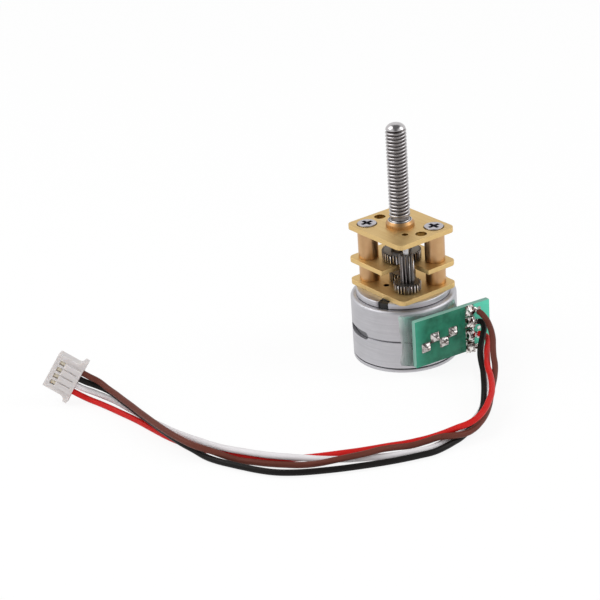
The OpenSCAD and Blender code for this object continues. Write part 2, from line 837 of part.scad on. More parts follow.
module output_gear() {
    color(dark_steel)
        difference() {
            translate([0, 0, output_gear_z])
                linear_extrude(output_gear_h)
                    polygon(gear_outline(output_teeth, -pinion_shift, arbor_angle + 180 / output_teeth));
            post(seat_r, output_gear_z - cut, output_gear_z + output_gear_h + cut);
        }
}

module output_bush() {
    color(bronze)
        difference() {
            union() {
                post(bush_shoulder_r, bush_z, front_plate_z);
                post(bush_r, front_plate_z - cut, bush_top - bush_chamfer_h);
                translate([0, 0, bush_top - bush_chamfer_h])
                    cylinder(r1 = bush_r, r2 = bush_top_r, h = bush_chamfer_h);
            }
            post(bush_bore_r, bush_z - cut, bush_top + cut);
        }
}

// Screw with one rib for each turn of its thread
module lead_screw() {
    collar_top = bush_z - collar_gap;
    gear_top = output_gear_z + output_gear_h;
    neck_r = thread_r - undercut;
    below = [
        [0, middle_plate_z - foot_drop], [foot_r, middle_plate_z - foot_drop],
        [foot_r, seat_z], [seat_r, seat_z], [seat_r, gear_top], [journal_r, gear_top],
        [journal_r, collar_top - collar_h], [collar_r, collar_top - collar_h],
        [collar_r, collar_top], [journal_r, collar_top], [journal_r, undercut_z],
        [neck_r, undercut_z], [neck_r, thread_z]
    ];
    ribs = [
        for (k = [0 : thread_turns - 1])
            let (z = thread_z + k * thread_pitch)
            each [[groove_r, z], [thread_r, z + flank], [thread_r, z + flank + crest],
                  [groove_r, z + 2 * flank + crest]]
    ];
    above = [
        [groove_r, round_z - flank], [thread_r, round_z], [thread_r - tip_r, round_z],
        [thread_r - tip_r, tip_z], [0, tip_z]
    ];
    color(steel_grey)
        rotate_extrude() {
            polygon(concat(below, ribs, above));
            intersection() {
                translate([thread_r - tip_r, round_z])
                    circle(r = tip_r);
                translate([thread_r - tip_r, round_z])
                    square(tip_r);
            }
        }
}

// Resin block that widens from the board to the can
module block_body() {
    wide = block_half + block_flare;
    intersection() {
        linear_extrude(can_h)
            polygon([[block_root, -wide], [board_back, -block_half],
                     [board_back, block_half], [block_root, wide]]);
        translate([0, wide, 0])
            rotate([90, 0, 0])
                linear_extrude(2 * wide)
                    polygon([[block_root, shell_z + block_margin], [board_back, board_z],
                             [board_back, board_z + board_h], [block_root, can_h - block_margin]]);
    }
}

module terminal_block() {
    color(resin)
        difference() {
            union() {
                on_board_frame()
                    difference() {
                        block_body();
                        post(can_r, -cut, can_h + cut);
                    }
                intersection() {
                    pipe(can_r + cut, pin_start, 0, can_h);
                    pin_window(tongue_gap);
                }
            }
            on_board_frame()
                at_pins()
                    cylinder(d = pin_d, h = 2 * can_r, $fn = 24);
        }
}

module coil_pins() {
    color(steel_grey)
        on_board_frame()
            at_pins()
                translate([0, 0, pin_start + cut])
                    cylinder(d = pin_d, h = board_face + pin_tip - pin_start - cut, $fn = 24);
}

module circuit_board() {
    color(board_green)
        on_board_frame()
            difference() {
                translate([board_back, board_left, board_z])
                    cube([board_t, board_w, board_h]);
                at_pins()
                    cylinder(d = pin_d, h = 2 * can_r, $fn = 24);
            }
}

module pin_solder() {
    color(steel_grey)
        on_board_frame()
            at_pins()
                translate([0, 0, board_face])
                    difference() {
                        cylinder(r1 = solder_r, r2 = solder_tip_r, h = solder_h, $fn = 32);
                        translate([0, 0, -cut])
                            cylinder(d = pin_d, h = solder_h + 2 * cut, $fn = 24);
                    }
}

module wire_solder() {
    color(steel_grey)
        on_board_frame()
            for (k = [0 : 3])
                translate([board_face, pad_s, pad_height(k)]) {
                    rotate([0, 90, 0])
                        cylinder(r1 = pad_r, r2 = pad_tip_r, h = pad_h, $fn = 32);
                    translate([wire_r + wire_lift, 0, 0])
                        rotate([-90, 0, 0])
                            cylinder(r = core_r, h = wire_strip + core_grip, $fn = 32);
                }
}

module wire_brown() {
    color([0.36, 0.20, 0.16])
        tube(concat([plug_end(-1.5)], brown_route, [board_end(0)]), wire_r);
}

module wire_black() {
    color([0.08, 0.08, 0.08])
        tube(concat([plug_end(-0.5)], black_route, [board_end(1)]), wire_r);
}

module wire_white() {
    color([0.85, 0.83, 0.83])
        tube(concat([plug_end(0.5)], white_route, [board_end(3)]), wire_r);
}

module wire_red() {
    color([0.75, 0.10, 0.10])
        tube(concat([plug_end(1.5)], red_route, [board_end(2)]), wire_r);
}

// Outline of the plug, with an ear at each side of the rear
module plug_outline() {
    ear = (plug_flare_w - plug_w) / 2;
    translate([0, -plug_w / 2])
        square([plug_len, plug_w]);
    translate([0, -plug_flare_w / 2])
        square([ear_len, plug_flare_w]);
    for (k = [0, 1])
        mirror([0, k])
            translate([ear_len, plug_w / 2])
                difference() {
                    square(ear);
                    translate([ear, ear])
                        circle(r = ear, $fn = 32);
                }
}

module plug_housing() {
    low = plug_t / 2 - deck_h;
    deck = 2 * contacts[3] * plug_pitch + 2 * deck_margin;
    front = plug_len - window_wall;
    color(plug_white)
        at_plug()
            difference() {
                union() {
                    translate([0, 0, -plug_t / 2])
                        linear_extrude(plug_t - deck_h)
                            plug_outline();
                    translate([0, -deck / 2, 0])
                        cube([plug_len - deck_end, deck, plug_t / 2]);
                }
                for (k = contacts) {
                    translate([front - window_len, k * plug_pitch - window_side / 2, low - window_depth])
                        cube([window_len, window_side, window_depth + cut]);
                    translate([plug_len - mouth_depth, k * plug_pitch - mouth / 2, -mouth / 2])
                        cube([mouth_depth + cut, mouth, mouth]);
                }
                for (k = [-1 : 1])
                    translate([groove_start, k * plug_pitch - groove_w / 2, plug_t / 2 - groove_cut])
                        cube([plug_len, groove_w, groove_cut + cut]);
            }
}

module plug_contacts() {
    color(brass_gold)
        at_plug()
            for (k = contacts)
                translate([plug_len - deck_end, k * plug_pitch - contact_w / 2,
                           plug_t / 2 - deck_h - window_depth])
                    cube([window_len, contact_w, contact_h]);
}

bottom_cover();
lower_shell();
upper_shell();
front_flange();
lower_bobbin();
upper_bobbin();
lower_coil();
upper_coil();
lower_yoke();
upper_yoke();
rear_bearing();
front_bearing();
rotor_magnet();
rotor_shaft();
motor_pinion();
motor_plate();
middle_plate();
front_plate();
lower_spacers();
upper_spacers();
clamp_screws();
gear_arbor();
compound_wheel();
compound_pinion();
output_gear();
output_bush();
lead_screw();
terminal_block();
coil_pins();
circuit_board();
pin_solder();
wire_solder();
wire_brown();
wire_black();
wire_white();
wire_red();
plug_housing();
plug_contacts();
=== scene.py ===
import math
import bpy
import bmesh
from mathutils import Matrix, Vector, noise


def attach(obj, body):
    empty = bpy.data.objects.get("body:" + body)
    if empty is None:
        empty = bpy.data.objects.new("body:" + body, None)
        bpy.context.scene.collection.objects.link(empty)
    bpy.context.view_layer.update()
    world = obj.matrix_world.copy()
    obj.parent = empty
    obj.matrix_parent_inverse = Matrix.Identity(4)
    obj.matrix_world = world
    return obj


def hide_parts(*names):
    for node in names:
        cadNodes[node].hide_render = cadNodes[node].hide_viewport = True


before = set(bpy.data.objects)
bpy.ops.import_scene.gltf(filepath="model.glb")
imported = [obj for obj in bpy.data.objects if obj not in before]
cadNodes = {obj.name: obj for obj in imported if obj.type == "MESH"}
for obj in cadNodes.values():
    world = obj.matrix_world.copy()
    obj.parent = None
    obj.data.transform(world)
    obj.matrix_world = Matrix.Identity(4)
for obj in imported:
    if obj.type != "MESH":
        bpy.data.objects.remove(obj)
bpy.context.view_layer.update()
scene = bpy.context.scene
scene.view_settings.view_transform = "Standard"
mm = 0.001


def hexColour(code):  # sRGB hex to the linear values that the shaders take
    parts = [int(code[i:i + 2], 16) / 255 for i in (1, 3, 5)]
    return tuple(c / 12.92 if c <= 0.04045 else ((c + 0.055) / 1.055) ** 2.4 for c in parts) + (1.0,)


def perMm(size):  # texture scale of a pattern that repeats after this many millimetres
    return 1000.0 / size


def setInputs(tree, node, inputs):  # plain values are set, sockets are linked
    for key, value in inputs.items():
        if isinstance(value, bpy.types.NodeSocket):
            tree.links.new(value, node.inputs[key])
        else:
            node.inputs[key].default_value = value


def addNode(tree, kind, inputs=None, **settings):  # a node with its settings, its values and its links
    made = tree.nodes.new(kind)
    for key, value in settings.items():
        setattr(made, key, value)
    setInputs(tree, made, inputs or {})
    return made


def startMaterial(name, metallic=0.0):  # the shader, and the object coordinates that its patterns read
    mat = bpy.data.materials.new(name)
    mat.use_nodes = True
    tree = mat.node_tree
    skin = tree.nodes["Principled BSDF"]
    skin.inputs["Metallic"].default_value = metallic
    return mat, tree, skin, addNode(tree, "ShaderNodeTexCoord").outputs["Object"]


# camera at the photograph's place, fitted to the plates, the can and the screw; place in millimetres
cameraSet = {
    "place": (182.709, -145.819, 115.676),
    "right": (0.59725, 0.79919, -0.06776),
    "up": (-0.29712, 0.29893, 0.90684),
    "back": (0.74499, -0.52147, 0.41599),
    "lens": 108.711,
    "sensor": 36.0,
    "clip": (0.01, 20),
}
camera = bpy.data.objects.new("camera", bpy.data.cameras.new("camera"))
scene.collection.objects.link(camera)
axes = Matrix((cameraSet["right"], cameraSet["up"], cameraSet["back"])).transposed()
camera.matrix_world = Matrix.Translation(Vector(cameraSet["place"]) * mm) @ axes.to_4x4()
camera.data.lens = cameraSet["lens"]
camera.data.sensor_width = cameraSet["sensor"]
camera.data.clip_start, camera.data.clip_end = cameraSet["clip"]
scene.camera = camera
print("camera placed")


def insulation(name, deep, pale, shine):
    # PVC, extruded over the strands: an even satin skin with faint clouds and handling marks
    mat, tree, skin, spot = startMaterial(name)
    cloud = addNode(tree, "ShaderNodeTexNoise", {"Vector": spot, "Scale": perMm(3.0), "Detail": 3.0})
    grit = addNode(tree, "ShaderNodeTexNoise", {"Vector": spot, "Scale": perMm(0.25), "Detail": 2.0})
    tint = addNode(tree, "ShaderNodeMix", {
        0: cloud.outputs["Fac"], 6: hexColour(deep), 7: hexColour(pale)}, data_type="RGBA")
    dull = addNode(tree, "ShaderNodeMapRange", {
        "Value": grit.outputs["Fac"], "To Min": shine - 0.05, "To Max": shine + 0.08})
    relief = addNode(tree, "ShaderNodeBump", {
        "Height": grit.outputs["Fac"], "Strength": 0.15, "Distance": 0.02 * mm})
    setInputs(tree, skin, {
        "Base Color": tint.outputs[2], "Roughness": dull.outputs[0], "Normal": relief.outputs[0],
        "IOR": 1.53, "Specular IOR Level": 0.14})
    return mat


# four single wires, each from its bared end on the board to the plug, in millimetres
wireSet = {
    "diameter": 0.84, "steps": 6, "round": 5,
    "brown": {
        "colours": ("#572b22", "#6d3b30"), "shine": 0.42,
        "start": (9.728, 5.434, 7.4), "inPlug": (-19.385, -42.382, 4.475),
        "length": 89.1,
        "route": [
            (-18.45, -41.5, 3.7), (-17.45, -40.75, 3.1), (-15.45, -40.45, 2.6), (-13.35, -40.4, 2.45),
            (-11.25, -40.45, 2.35), (-9.15, -40.55, 2.35), (-7.05, -40.7, 2.35), (-4.95, -40.85, 2.4),
            (-2.9, -40.95, 2.4), (-0.8, -41, 2.4), (1.3, -40.95, 2.35), (3.4, -40.7, 2.25),
            (5.4, -40.1, 1.95), (7.05, -38.95, 1.5), (8.65, -37.7, 0.85), (10.4, -36.65, 0.5),
            (12.2, -35.5, 0.5), (13.9, -34.3, 0.5), (15.5, -32.95, 0.5), (17, -31.5, 0.5),
            (18.4, -29.95, 0.7), (19.75, -28.35, 1.1), (20.9, -26.65, 1.4), (21.75, -24.75, 1.5),
            (22.3, -22.7, 1.5), (22.75, -20.65, 1.2), (23.4, -18.7, 0.95), (24.25, -16.8, 1.2),
            (25, -15.25, 1.5), (25.9, -13.7, 1.5), (26.3, -12.05, 1.3), (26.15, -10.3, 1.3),
            (25.65, -8.65, 1.5), (24.85, -7.1, 1.7), (23.85, -5.65, 1.9), (22.75, -4.35, 2.1),
            (21.55, -3.05, 2.3), (20.45, -1.75, 2.6), (19.35, -0.45, 3), (18.2, 0.7, 3.65), (16.9, 1.65, 4.3),
            (15.65, 2.7, 4.95), (14.7, 3.55, 5.4), (13.65, 4.3, 5.85), (12.55, 4.95, 6.2),
            (11.35, 5.45, 6.65), (10.15, 5.5, 7.25),
        ],
    },
    "black": {
        "colours": ("#0f0d0c", "#1a1716"), "shine": 0.42,
        "start": (9.652, 5.392, 5.87), "inPlug": (-19.575, -42.912, 3.645),
        "length": 89.8,
        "route": [
            (-18.75, -41.95, 2.9), (-18.1, -40.9, 2.25), (-16.25, -40.05, 1.8), (-14.2, -39.9, 1.6),
            (-12.1, -39.95, 1.45), (-10, -40, 1.4), (-7.9, -40.15, 1.4), (-5.8, -40.25, 1.45),
            (-3.7, -40.35, 1.45), (-1.6, -40.4, 1.4), (0.5, -40.4, 1.35), (2.55, -40.2, 1.15),
            (4.6, -39.7, 0.8), (6.6, -39.3, 0.5), (8.65, -38.8, 0.5), (10.6, -38, 0.5), (12.5, -37.15, 0.5),
            (14.4, -36.2, 0.5), (16.15, -35.05, 0.5), (17.65, -33.6, 0.5), (18.95, -31.95, 0.5),
            (20.1, -30.2, 0.5), (21.2, -28.4, 0.5), (22.2, -26.55, 0.5), (23.15, -24.7, 0.5),
            (24.05, -22.8, 0.5), (24.85, -20.85, 0.5), (25.55, -18.85, 0.5), (26.05, -17.2, 0.5),
            (26.1, -15.45, 0.5), (25.9, -13.7, 0.5), (25.6, -12, 0.5), (25.25, -10.3, 0.85),
            (24.65, -8.7, 1.15), (23.8, -7.15, 1.35), (22.8, -5.75, 1.45), (21.6, -4.5, 1.6),
            (20.35, -3.3, 1.75), (19.05, -2.1, 1.95), (17.75, -1, 2.25), (16.4, 0.1, 2.55), (15, 1.05, 3),
            (14.1, 1.7, 3.5), (13.25, 2.5, 4), (12.5, 3.4, 4.45), (11.8, 4.3, 4.9), (11.05, 5.2, 5.4),
            (10.05, 5.65, 5.8),
        ],
    },
    "white": {
        "colours": ("#dad6d8", "#e6e3e5"), "shine": 0.45,
        "start": (9.652, 5.392, 2.07), "inPlug": (-19.765, -43.442, 2.815),
        "length": 86.1,
        "route": [
            (-18.9, -42.5, 2.05), (-18.15, -41.5, 1.45), (-16.45, -40.4, 0.85), (-14.5, -39.8, 0.6),
            (-12.4, -39.6, 0.5), (-10.3, -39.45, 0.5), (-8.2, -39.35, 0.5), (-6.1, -39.15, 0.5),
            (-4.05, -38.85, 0.5), (-1.95, -38.7, 0.6), (0.15, -38.6, 0.85), (2.2, -38.5, 1.15),
            (4.3, -38.25, 1.4), (6.3, -37.75, 1.45), (8.25, -36.95, 1.45), (10.1, -35.95, 1.45),
            (11.9, -34.85, 1.4), (13.6, -33.65, 1.35), (15.15, -32.25, 1.25), (16.5, -30.65, 1),
            (17.75, -29, 0.7), (19.05, -27.35, 0.55), (20.35, -25.7, 0.5), (21.55, -23.95, 0.5),
            (22.75, -22.25, 0.5), (23.7, -20.4, 0.5), (24.4, -18.75, 0.5), (25, -17.15, 0.5),
            (25.1, -15.4, 0.5), (24.85, -13.65, 0.5), (24.55, -11.9, 0.5), (24.15, -10.2, 0.5),
            (23.6, -8.55, 0.5), (22.85, -6.95, 0.5), (22, -5.45, 0.5), (20.9, -4.05, 0.5), (19.75, -2.8, 0.5),
            (18.5, -1.55, 0.5), (17.3, -0.3, 0.5), (16.05, 0.95, 0.6), (14.7, 2.05, 0.8), (13.75, 2.8, 1),
            (12.8, 3.55, 1.25), (12, 4.4, 1.6), (11.2, 5.3, 1.85), (10.1, 5.65, 2.05),
        ],
    },
    "red": {
        "colours": ("#b81214", "#d32722"), "shine": 0.4,
        "start": (9.652, 5.392, 3.97), "inPlug": (-19.955, -43.972, 1.995),
        "length": 86.7,
        "route": [
            (-19, -43.1, 1.25), (-17.95, -42.35, 0.7), (-15.95, -41.7, 0.5), (-13.9, -41.35, 0.5),
            (-11.8, -41.05, 0.5), (-9.75, -40.75, 0.5), (-7.65, -40.5, 0.5), (-5.55, -40.35, 0.5),
            (-3.45, -40.2, 0.5), (-1.35, -40, 0.5), (0.7, -39.65, 0.5), (2.75, -39.15, 0.5),
            (4.7, -38.45, 0.5), (6.6, -37.55, 0.5), (8.45, -36.55, 0.5), (10.25, -35.5, 0.5),
            (12, -34.3, 0.5), (13.55, -32.9, 0.5), (14.9, -31.3, 0.5), (16.1, -29.55, 0.5),
            (17.15, -27.75, 0.5), (18.15, -25.9, 0.5), (19.15, -24.05, 0.5), (20.05, -22.15, 0.5),
            (20.9, -20.25, 0.5), (21.9, -18.4, 0.55), (22.8, -16.9, 0.75), (23.7, -15.45, 1.05),
            (24.6, -14, 1.5), (25.4, -12.55, 2), (26.1, -11, 2.4), (26.05, -9.3, 2.75), (25.45, -7.65, 3.05),
            (24.55, -6.2, 3.25), (23.5, -4.8, 3.35), (22.25, -3.55, 3.45), (20.95, -2.45, 3.55),
            (19.5, -1.4, 3.7), (18.05, -0.45, 3.75), (16.7, 0.65, 3.7), (15.4, 1.8, 3.75), (14.4, 2.7, 3.8),
            (13.45, 3.65, 3.85), (12.5, 4.6, 3.9), (11.45, 5.4, 3.95), (10.15, 5.6, 3.95),
        ],
    },
}


def layWire(colour):
    one = wireSet[colour]
    points = [one["start"]] + one["route"][::-1] + [one["inPlug"]]  # from the board to the plug
    line = bpy.data.curves.new("wire_" + colour + "_pvc", "CURVE")
    line.dimensions = "3D"
    line.resolution_u = wireSet["steps"]
    line.bevel_depth = wireSet["diameter"] / 2 * mm
    line.bevel_resolution = wireSet["round"]
    line.use_fill_caps = True
    spline = line.splines.new("BEZIER")
    spline.bezier_points.add(len(points) - 1)
    for knot, point in zip(spline.bezier_points, points):
        knot.co = Vector(point) * mm
        knot.handle_left_type = knot.handle_right_type = "AUTO"
    line.materials.append(insulation(colour + " PVC extruded", *one["colours"], one["shine"]))
    wire = bpy.data.objects.new("wire_" + colour + "_pvc", line)
    scene.collection.objects.link(wire)
    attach(wire, "base")
    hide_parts("wire_" + colour)
    return wire, Vector(one["start"]) * mm, one["length"] * mm


wires = {colour: layWire(colour) for colour in ("brown", "black", "white", "red")}
print("wires laid:", len(wires))


def metalSheet(name, dark, light, rough, streakMm, bumpMm):
    # sheet metal, rolled: streaks along one axis, faint clouds where it was handled
    mat, tree, skin, spot = startMaterial(name, 1.0)
    drawn = addNode(tree, "ShaderNodeMapping", {"Vector": spot, "Scale": [perMm(size) for size in streakMm]})
    lines = addNode(tree, "ShaderNodeTexNoise", {
        "Vector": drawn.outputs[0], "Scale": 1.0, "Detail": 4.0, "Roughness": 0.6})
    cloud = addNode(tree, "ShaderNodeTexNoise", {
        "Vector": spot, "Scale": perMm(2.5), "Detail": 4.0, "Roughness": 0.65})
    mixed = addNode(tree, "ShaderNodeMath", {
        0: lines.outputs["Fac"], 1: cloud.outputs["Fac"]}, operation="MULTIPLY")
    level = addNode(tree, "ShaderNodeMapRange", {
        "Value": mixed.outputs[0], "From Min": 0.12, "From Max": 0.42})
    tint = addNode(tree, "ShaderNodeMix", {
        0: level.outputs[0], 6: hexColour(dark), 7: hexColour(light)}, data_type="RGBA")
    dull = addNode(tree, "ShaderNodeMapRange", {
        "Value": cloud.outputs["Fac"], "From Min": 0.3, "From Max": 0.7,
        "To Min": rough - 0.06, "To Max": rough + 0.08})
    relief = addNode(tree, "ShaderNodeBump", {
        "Height": lines.outputs["Fac"], "Strength": 0.5, "Distance": bumpMm * mm})
    setInputs(tree, skin, {
        "Base Color": tint.outputs[2], "Roughness": dull.outputs[0], "Normal": relief.outputs[0]})
    return mat


def turnedMetal(name, dark, light, rough, ringMm, bumpMm):
    # bar, turned on a lathe: fine rings round the axis, colour a little uneven
    mat, tree, skin, spot = startMaterial(name, 1.0)
    across = perMm(50 / 3)  # hardly any change across the axis
    rings = addNode(tree, "ShaderNodeMapping", {"Vector": spot, "Scale": (across, across, perMm(ringMm))})
    feed = addNode(tree, "ShaderNodeTexNoise", {
        "Vector": rings.outputs[0], "Scale": 1.0, "Detail": 3.0, "Roughness": 0.55})
    cloud = addNode(tree, "ShaderNodeTexNoise", {"Vector": spot, "Scale": perMm(1.4), "Detail": 3.0})
    tint = addNode(tree, "ShaderNodeMix", {
        0: cloud.outputs["Fac"], 6: hexColour(dark), 7: hexColour(light)}, data_type="RGBA")
    dull = addNode(tree, "ShaderNodeMapRange", {
        "Value": feed.outputs["Fac"], "To Min": rough - 0.08, "To Max": rough + 0.1})
    relief = addNode(tree, "ShaderNodeBump", {
        "Height": feed.outputs["Fac"], "Strength": 0.5, "Distance": bumpMm * mm})
    setInputs(tree, skin, {
        "Base Color": tint.outputs[2], "Roughness": dull.outputs[0], "Normal": relief.outputs[0]})
    return mat


def mouldedPlastic(name, dark, light, rough, glow, ior):
    # injection moulding: fine spark-eroded skin, sink marks as soft clouds
    mat, tree, skin, spot = startMaterial(name)
    cloud = addNode(tree, "ShaderNodeTexNoise", {"Vector": spot, "Scale": perMm(1.8), "Detail": 3.0})
    grit = addNode(tree, "ShaderNodeTexNoise", {"Vector": spot, "Scale": perMm(0.12), "Detail": 2.0})
    tint = addNode(tree, "ShaderNodeMix", {
        0: cloud.outputs["Fac"], 6: hexColour(dark), 7: hexColour(light)}, data_type="RGBA")
    dull = addNode(tree, "ShaderNodeMapRange", {
        "Value": grit.outputs["Fac"], "To Min": rough - 0.08, "To Max": rough + 0.1})
    relief = addNode(tree, "ShaderNodeBump", {
        "Height": grit.outputs["Fac"], "Strength": 0.25, "Distance": 0.01 * mm})
    setInputs(tree, skin, {
        "Base Color": tint.outputs[2], "Roughness": dull.outputs[0], "Normal": relief.outputs[0], "IOR": ior,
        "Subsurface Weight": glow, "Subsurface Radius": (1.0, 0.9, 0.8), "Subsurface Scale": 0.8 * mm})
    return mat


# after the two colours: roughness, size of the streaks or rings and depth of the relief, in millimetres
# tin-plated steel, deep drawn: satin silver, brushed faintly round the wall
tinSteel = metalSheet("tin plated steel deep drawn", "#b5b4b8", "#c8c7cb", 0.44, (6.0, 6.0, 0.25), 0.002)
# painted shade at the flange's foot, where it meets the can: dark and dull, with a little metal showing
flangeFootShade = metalSheet("tin plated steel painted foot shade", "#4a4747", "#7a7676", 0.6, (0.6, 0.6, 0.1), 0.01)
# the same tin, darker in the seam's groove as painted shade: a thin grey line
seamShadeTin = metalSheet("tin seam painted groove shade", "#7d7c80", "#96959a", 0.5, (0.4, 0.4, 0.4), 0.004)
# brass sheet, blanked and brushed: pale satin gold with fine lines along its length
brassSheet = metalSheet("brass sheet blanked", "#d9b87c", "#e7cb92", 0.52, (5.0, 0.2, 0.2), 0.004)
# brass, drilled and tapped: the holes' walls, grooved, and browner and darker as painted shade inside the
# holes
tappedBrassShaded = turnedMetal("brass drilled", "#745525", "#9c773e", 0.36, 0.35, 0.04)
# the same brass, drilled: the spare hole, dark brown inside as painted shade
spareHoleShade = turnedMetal("brass drilled painted hole shade", "#241208", "#432512", 0.4, 0.3, 0.004)
# brass bar, turned: the spacers' rings, warmer than the sheet
brassBar = turnedMetal("brass bar turned", "#bd9468", "#d3ae84", 0.34, 0.09, 0.005)
# bronze, sintered and sized: copper orange, clean edges
bronze = turnedMetal("bronze sintered", "#aa8050", "#c09668", 0.4, 0.12, 0.005)
# steel, hobbed and oiled: dull faces; flanks darker as painted shade between the teeth; lands bright, worn,
# and lighter as a painted highlight
gearFace = turnedMetal("gear steel oiled face", "#73706d", "#898683", 0.42, 0.1, 0.006)
gearFlankShade = turnedMetal("gear steel hobbed flank painted shade", "#656260", "#7f7b79", 0.34, 0.1, 0.006)
gearLandWornLit = turnedMetal("gear steel worn land painted highlight", "#c2bebf", "#d6d3d4", 0.24, 0.08, 0.004)
# steel, ground: clean bright pins
groundSteel = turnedMetal("steel ground", "#a5a4a5", "#cac9ca", 0.2, 0.06, 0.003)
# stainless steel, rolled thread: bright rounded crests, the grooves darker as painted shade
threadSteel = turnedMetal("stainless steel rolled thread", "#b2afb0", "#c4c1c2", 0.17, 0.4, 0.001)
threadGrooveShade = turnedMetal("stainless steel painted groove shade", "#746f6e", "#8a8584", 0.3, 0.4, 0.001)
# steel, nickel plated: the small screws and the coil pins, bright with a warm cast
nickelSteel = turnedMetal("steel nickel plated", "#a29ea3", "#bdbabf", 0.2, 0.08, 0.003)
# near black: painted shade in the screws' recesses; the coil pins' cut ends take it too
recessShadeAndCutEnds = metalSheet("steel nickel plated painted recess shade and cut ends", "#3a3841", "#58565f", 0.5, (0.3, 0.3, 0.3), 0.01)
# nylon, moulded: milky white, light goes a little way in
nylon = mouldedPlastic("nylon moulded natural", "#c6c1c0", "#d3cecd", 0.45, 0.5, 1.53)
# PBT, moulded: the bobbins and their tab, dull black
blackPlastic = mouldedPlastic("PBT moulded black", "#060505", "#0d0c0b", 0.6, 0.0, 1.55)
# tin bronze strip, stamped: the plug's contacts, pale and springy
contactStrip = metalSheet("tin bronze strip stamped", "#e6dcc4", "#f4ecdc", 0.5, (0.15, 0.15, 1.0), 0.004)
# electrical steel, stamped: pole plates inside the can, plain grey
poleSteel = metalSheet("pole steel stamped", "#6f6f71", "#8f8f92", 0.4, (0.5, 0.5, 0.5), 0.006)
# ferrite, sintered and ground: near-black rotor
ferrite = turnedMetal("ferrite ground", "#1c1c1d", "#2d2d2e", 0.45, 0.2, 0.006)
# copper wire, enamelled: the windings' turns
enamelCopper = turnedMetal("copper wire enamelled", "#8a3f17", "#c06a30", 0.28, 0.12, 0.03)
print("metals and plastics mixed")


def finishPiece(name, bm, body, mats, replaced, smoothAngle=35.0, weighted=False):
    mesh = bpy.data.meshes.new(name)
    bm.to_mesh(mesh)
    bm.free()
    for mat in mats:
        mesh.materials.append(mat)
    mesh.shade_smooth()
    mesh.set_sharp_from_angle(angle=math.radians(smoothAngle))
    piece = bpy.data.objects.new(name, mesh)
    scene.collection.objects.link(piece)
    if weighted:
        even = piece.modifiers.new("even normals", "WEIGHTED_NORMAL")
        even.keep_sharp = True
    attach(piece, body)
    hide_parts(*replaced)
    return piece


# how a copy of a CAD solid is made ready: millimetres, then degrees
copySet = {"merge": 0.0002, "flat": 0.4, "hardFrom": 32.0}


def cadCopy(node, joinFlat=True):  # the solid's loose triangles merged, and its flat faces joined
    bm = bmesh.new()
    bm.from_mesh(cadNodes[node].data)
    bmesh.ops.remove_doubles(bm, verts=bm.verts, dist=copySet["merge"] * mm)
    if joinFlat:
        bmesh.ops.dissolve_limit(bm, angle_limit=math.radians(copySet["flat"]), verts=bm.verts,
                                 edges=bm.edges)
    return bm


def hardEdges(bm):
    return [e for e in bm.edges if e.is_manifold and e.calc_face_angle() > math.radians(copySet["hardFrom"])]


def breakEdges(bm, edges, size, segments):
    bmesh.ops.bevel(bm, geom=edges, offset=size * mm, offset_type="OFFSET", affect="EDGES", segments=segments,
                    profile=0.5, material=-1, clamp_overlap=True)


def softenEdges(node, name, body, mats, slotName, edge, second=None, segments=2):
    # a copy of the CAD solid with its hard edges broken; second says which faces take the second finish, on
    # several pieces a painted shade
    bm = cadCopy(node)
    breakEdges(bm, hardEdges(bm), edge, segments)
    bm.normal_update()
    for f in bm.faces if second else []:
        f.material_index = 1 if second(f.calc_center_median() / mm, f.normal) else 0
    return finishPiece(name, bm, body, mats, [node], weighted=True)


# where the second finish goes, on several pieces painted shade in seams and holes, in millimetres; wall and
# slope are shares of a face's normal
markSet = {
    "seamHeight": 4.7, "seamHalf": 0.14, "seamRadius": 7.3, "seamSlope": 0.2,
    "mountHoles": [(4.5, 0.0), (-4.5, 0.0)], "mountReach": 0.85,
    "arborHole": (3.086, -1.704), "arborReach": 0.6,
    "screwSeats": [(3.8, 2.9), (3.8, -2.9), (-3.8, 2.9), (-3.8, -2.9)], "seatReach": 1.5,
    "spareHole": (-0.2, -2.8), "spareReach": 0.5, "spareWall": 0.9,
    "recessFrom": 18.85, "headTop": 19.385, "recessReach": 1.05,
    "bushRim": 20.12, "wall": 0.5,
}


def nearAxis(place, spots, reach):
    return any(math.hypot(place.x - x, place.y - y) < reach for x, y in spots)


def inSeam(place, normal):
    # the faces of the seam's groove, which take the painted shade
    atHeight = abs(place.z - markSet["seamHeight"]) < markSet["seamHalf"]
    return atHeight and place.xy.length > markSet["seamRadius"] and abs(normal.z) > markSet["seamSlope"]


def inHole(place, normal):
    # walls of the drilled holes, which take the painted hole shade
    drilled = (nearAxis(place, markSet["mountHoles"], markSet["mountReach"])
               or nearAxis(place, [markSet["arborHole"]], markSet["arborReach"])
               or nearAxis(place, markSet["screwSeats"], markSet["seatReach"]))
    return drilled and abs(normal.z) < markSet["wall"]


def inSpareHole(place, normal):
    drilled = nearAxis(place, [markSet["spareHole"]], markSet["spareReach"])
    return drilled and abs(normal.z) < markSet["spareWall"]


def onBushRim(place, normal):
    return place.z > markSet["bushRim"]


def inRecess(place, normal):
    # faces inside the cross recess, which take the painted recess shade
    below = markSet["recessFrom"] < place.z < markSet["headTop"]
    return below and nearAxis(place, markSet["screwSeats"], markSet["recessReach"])


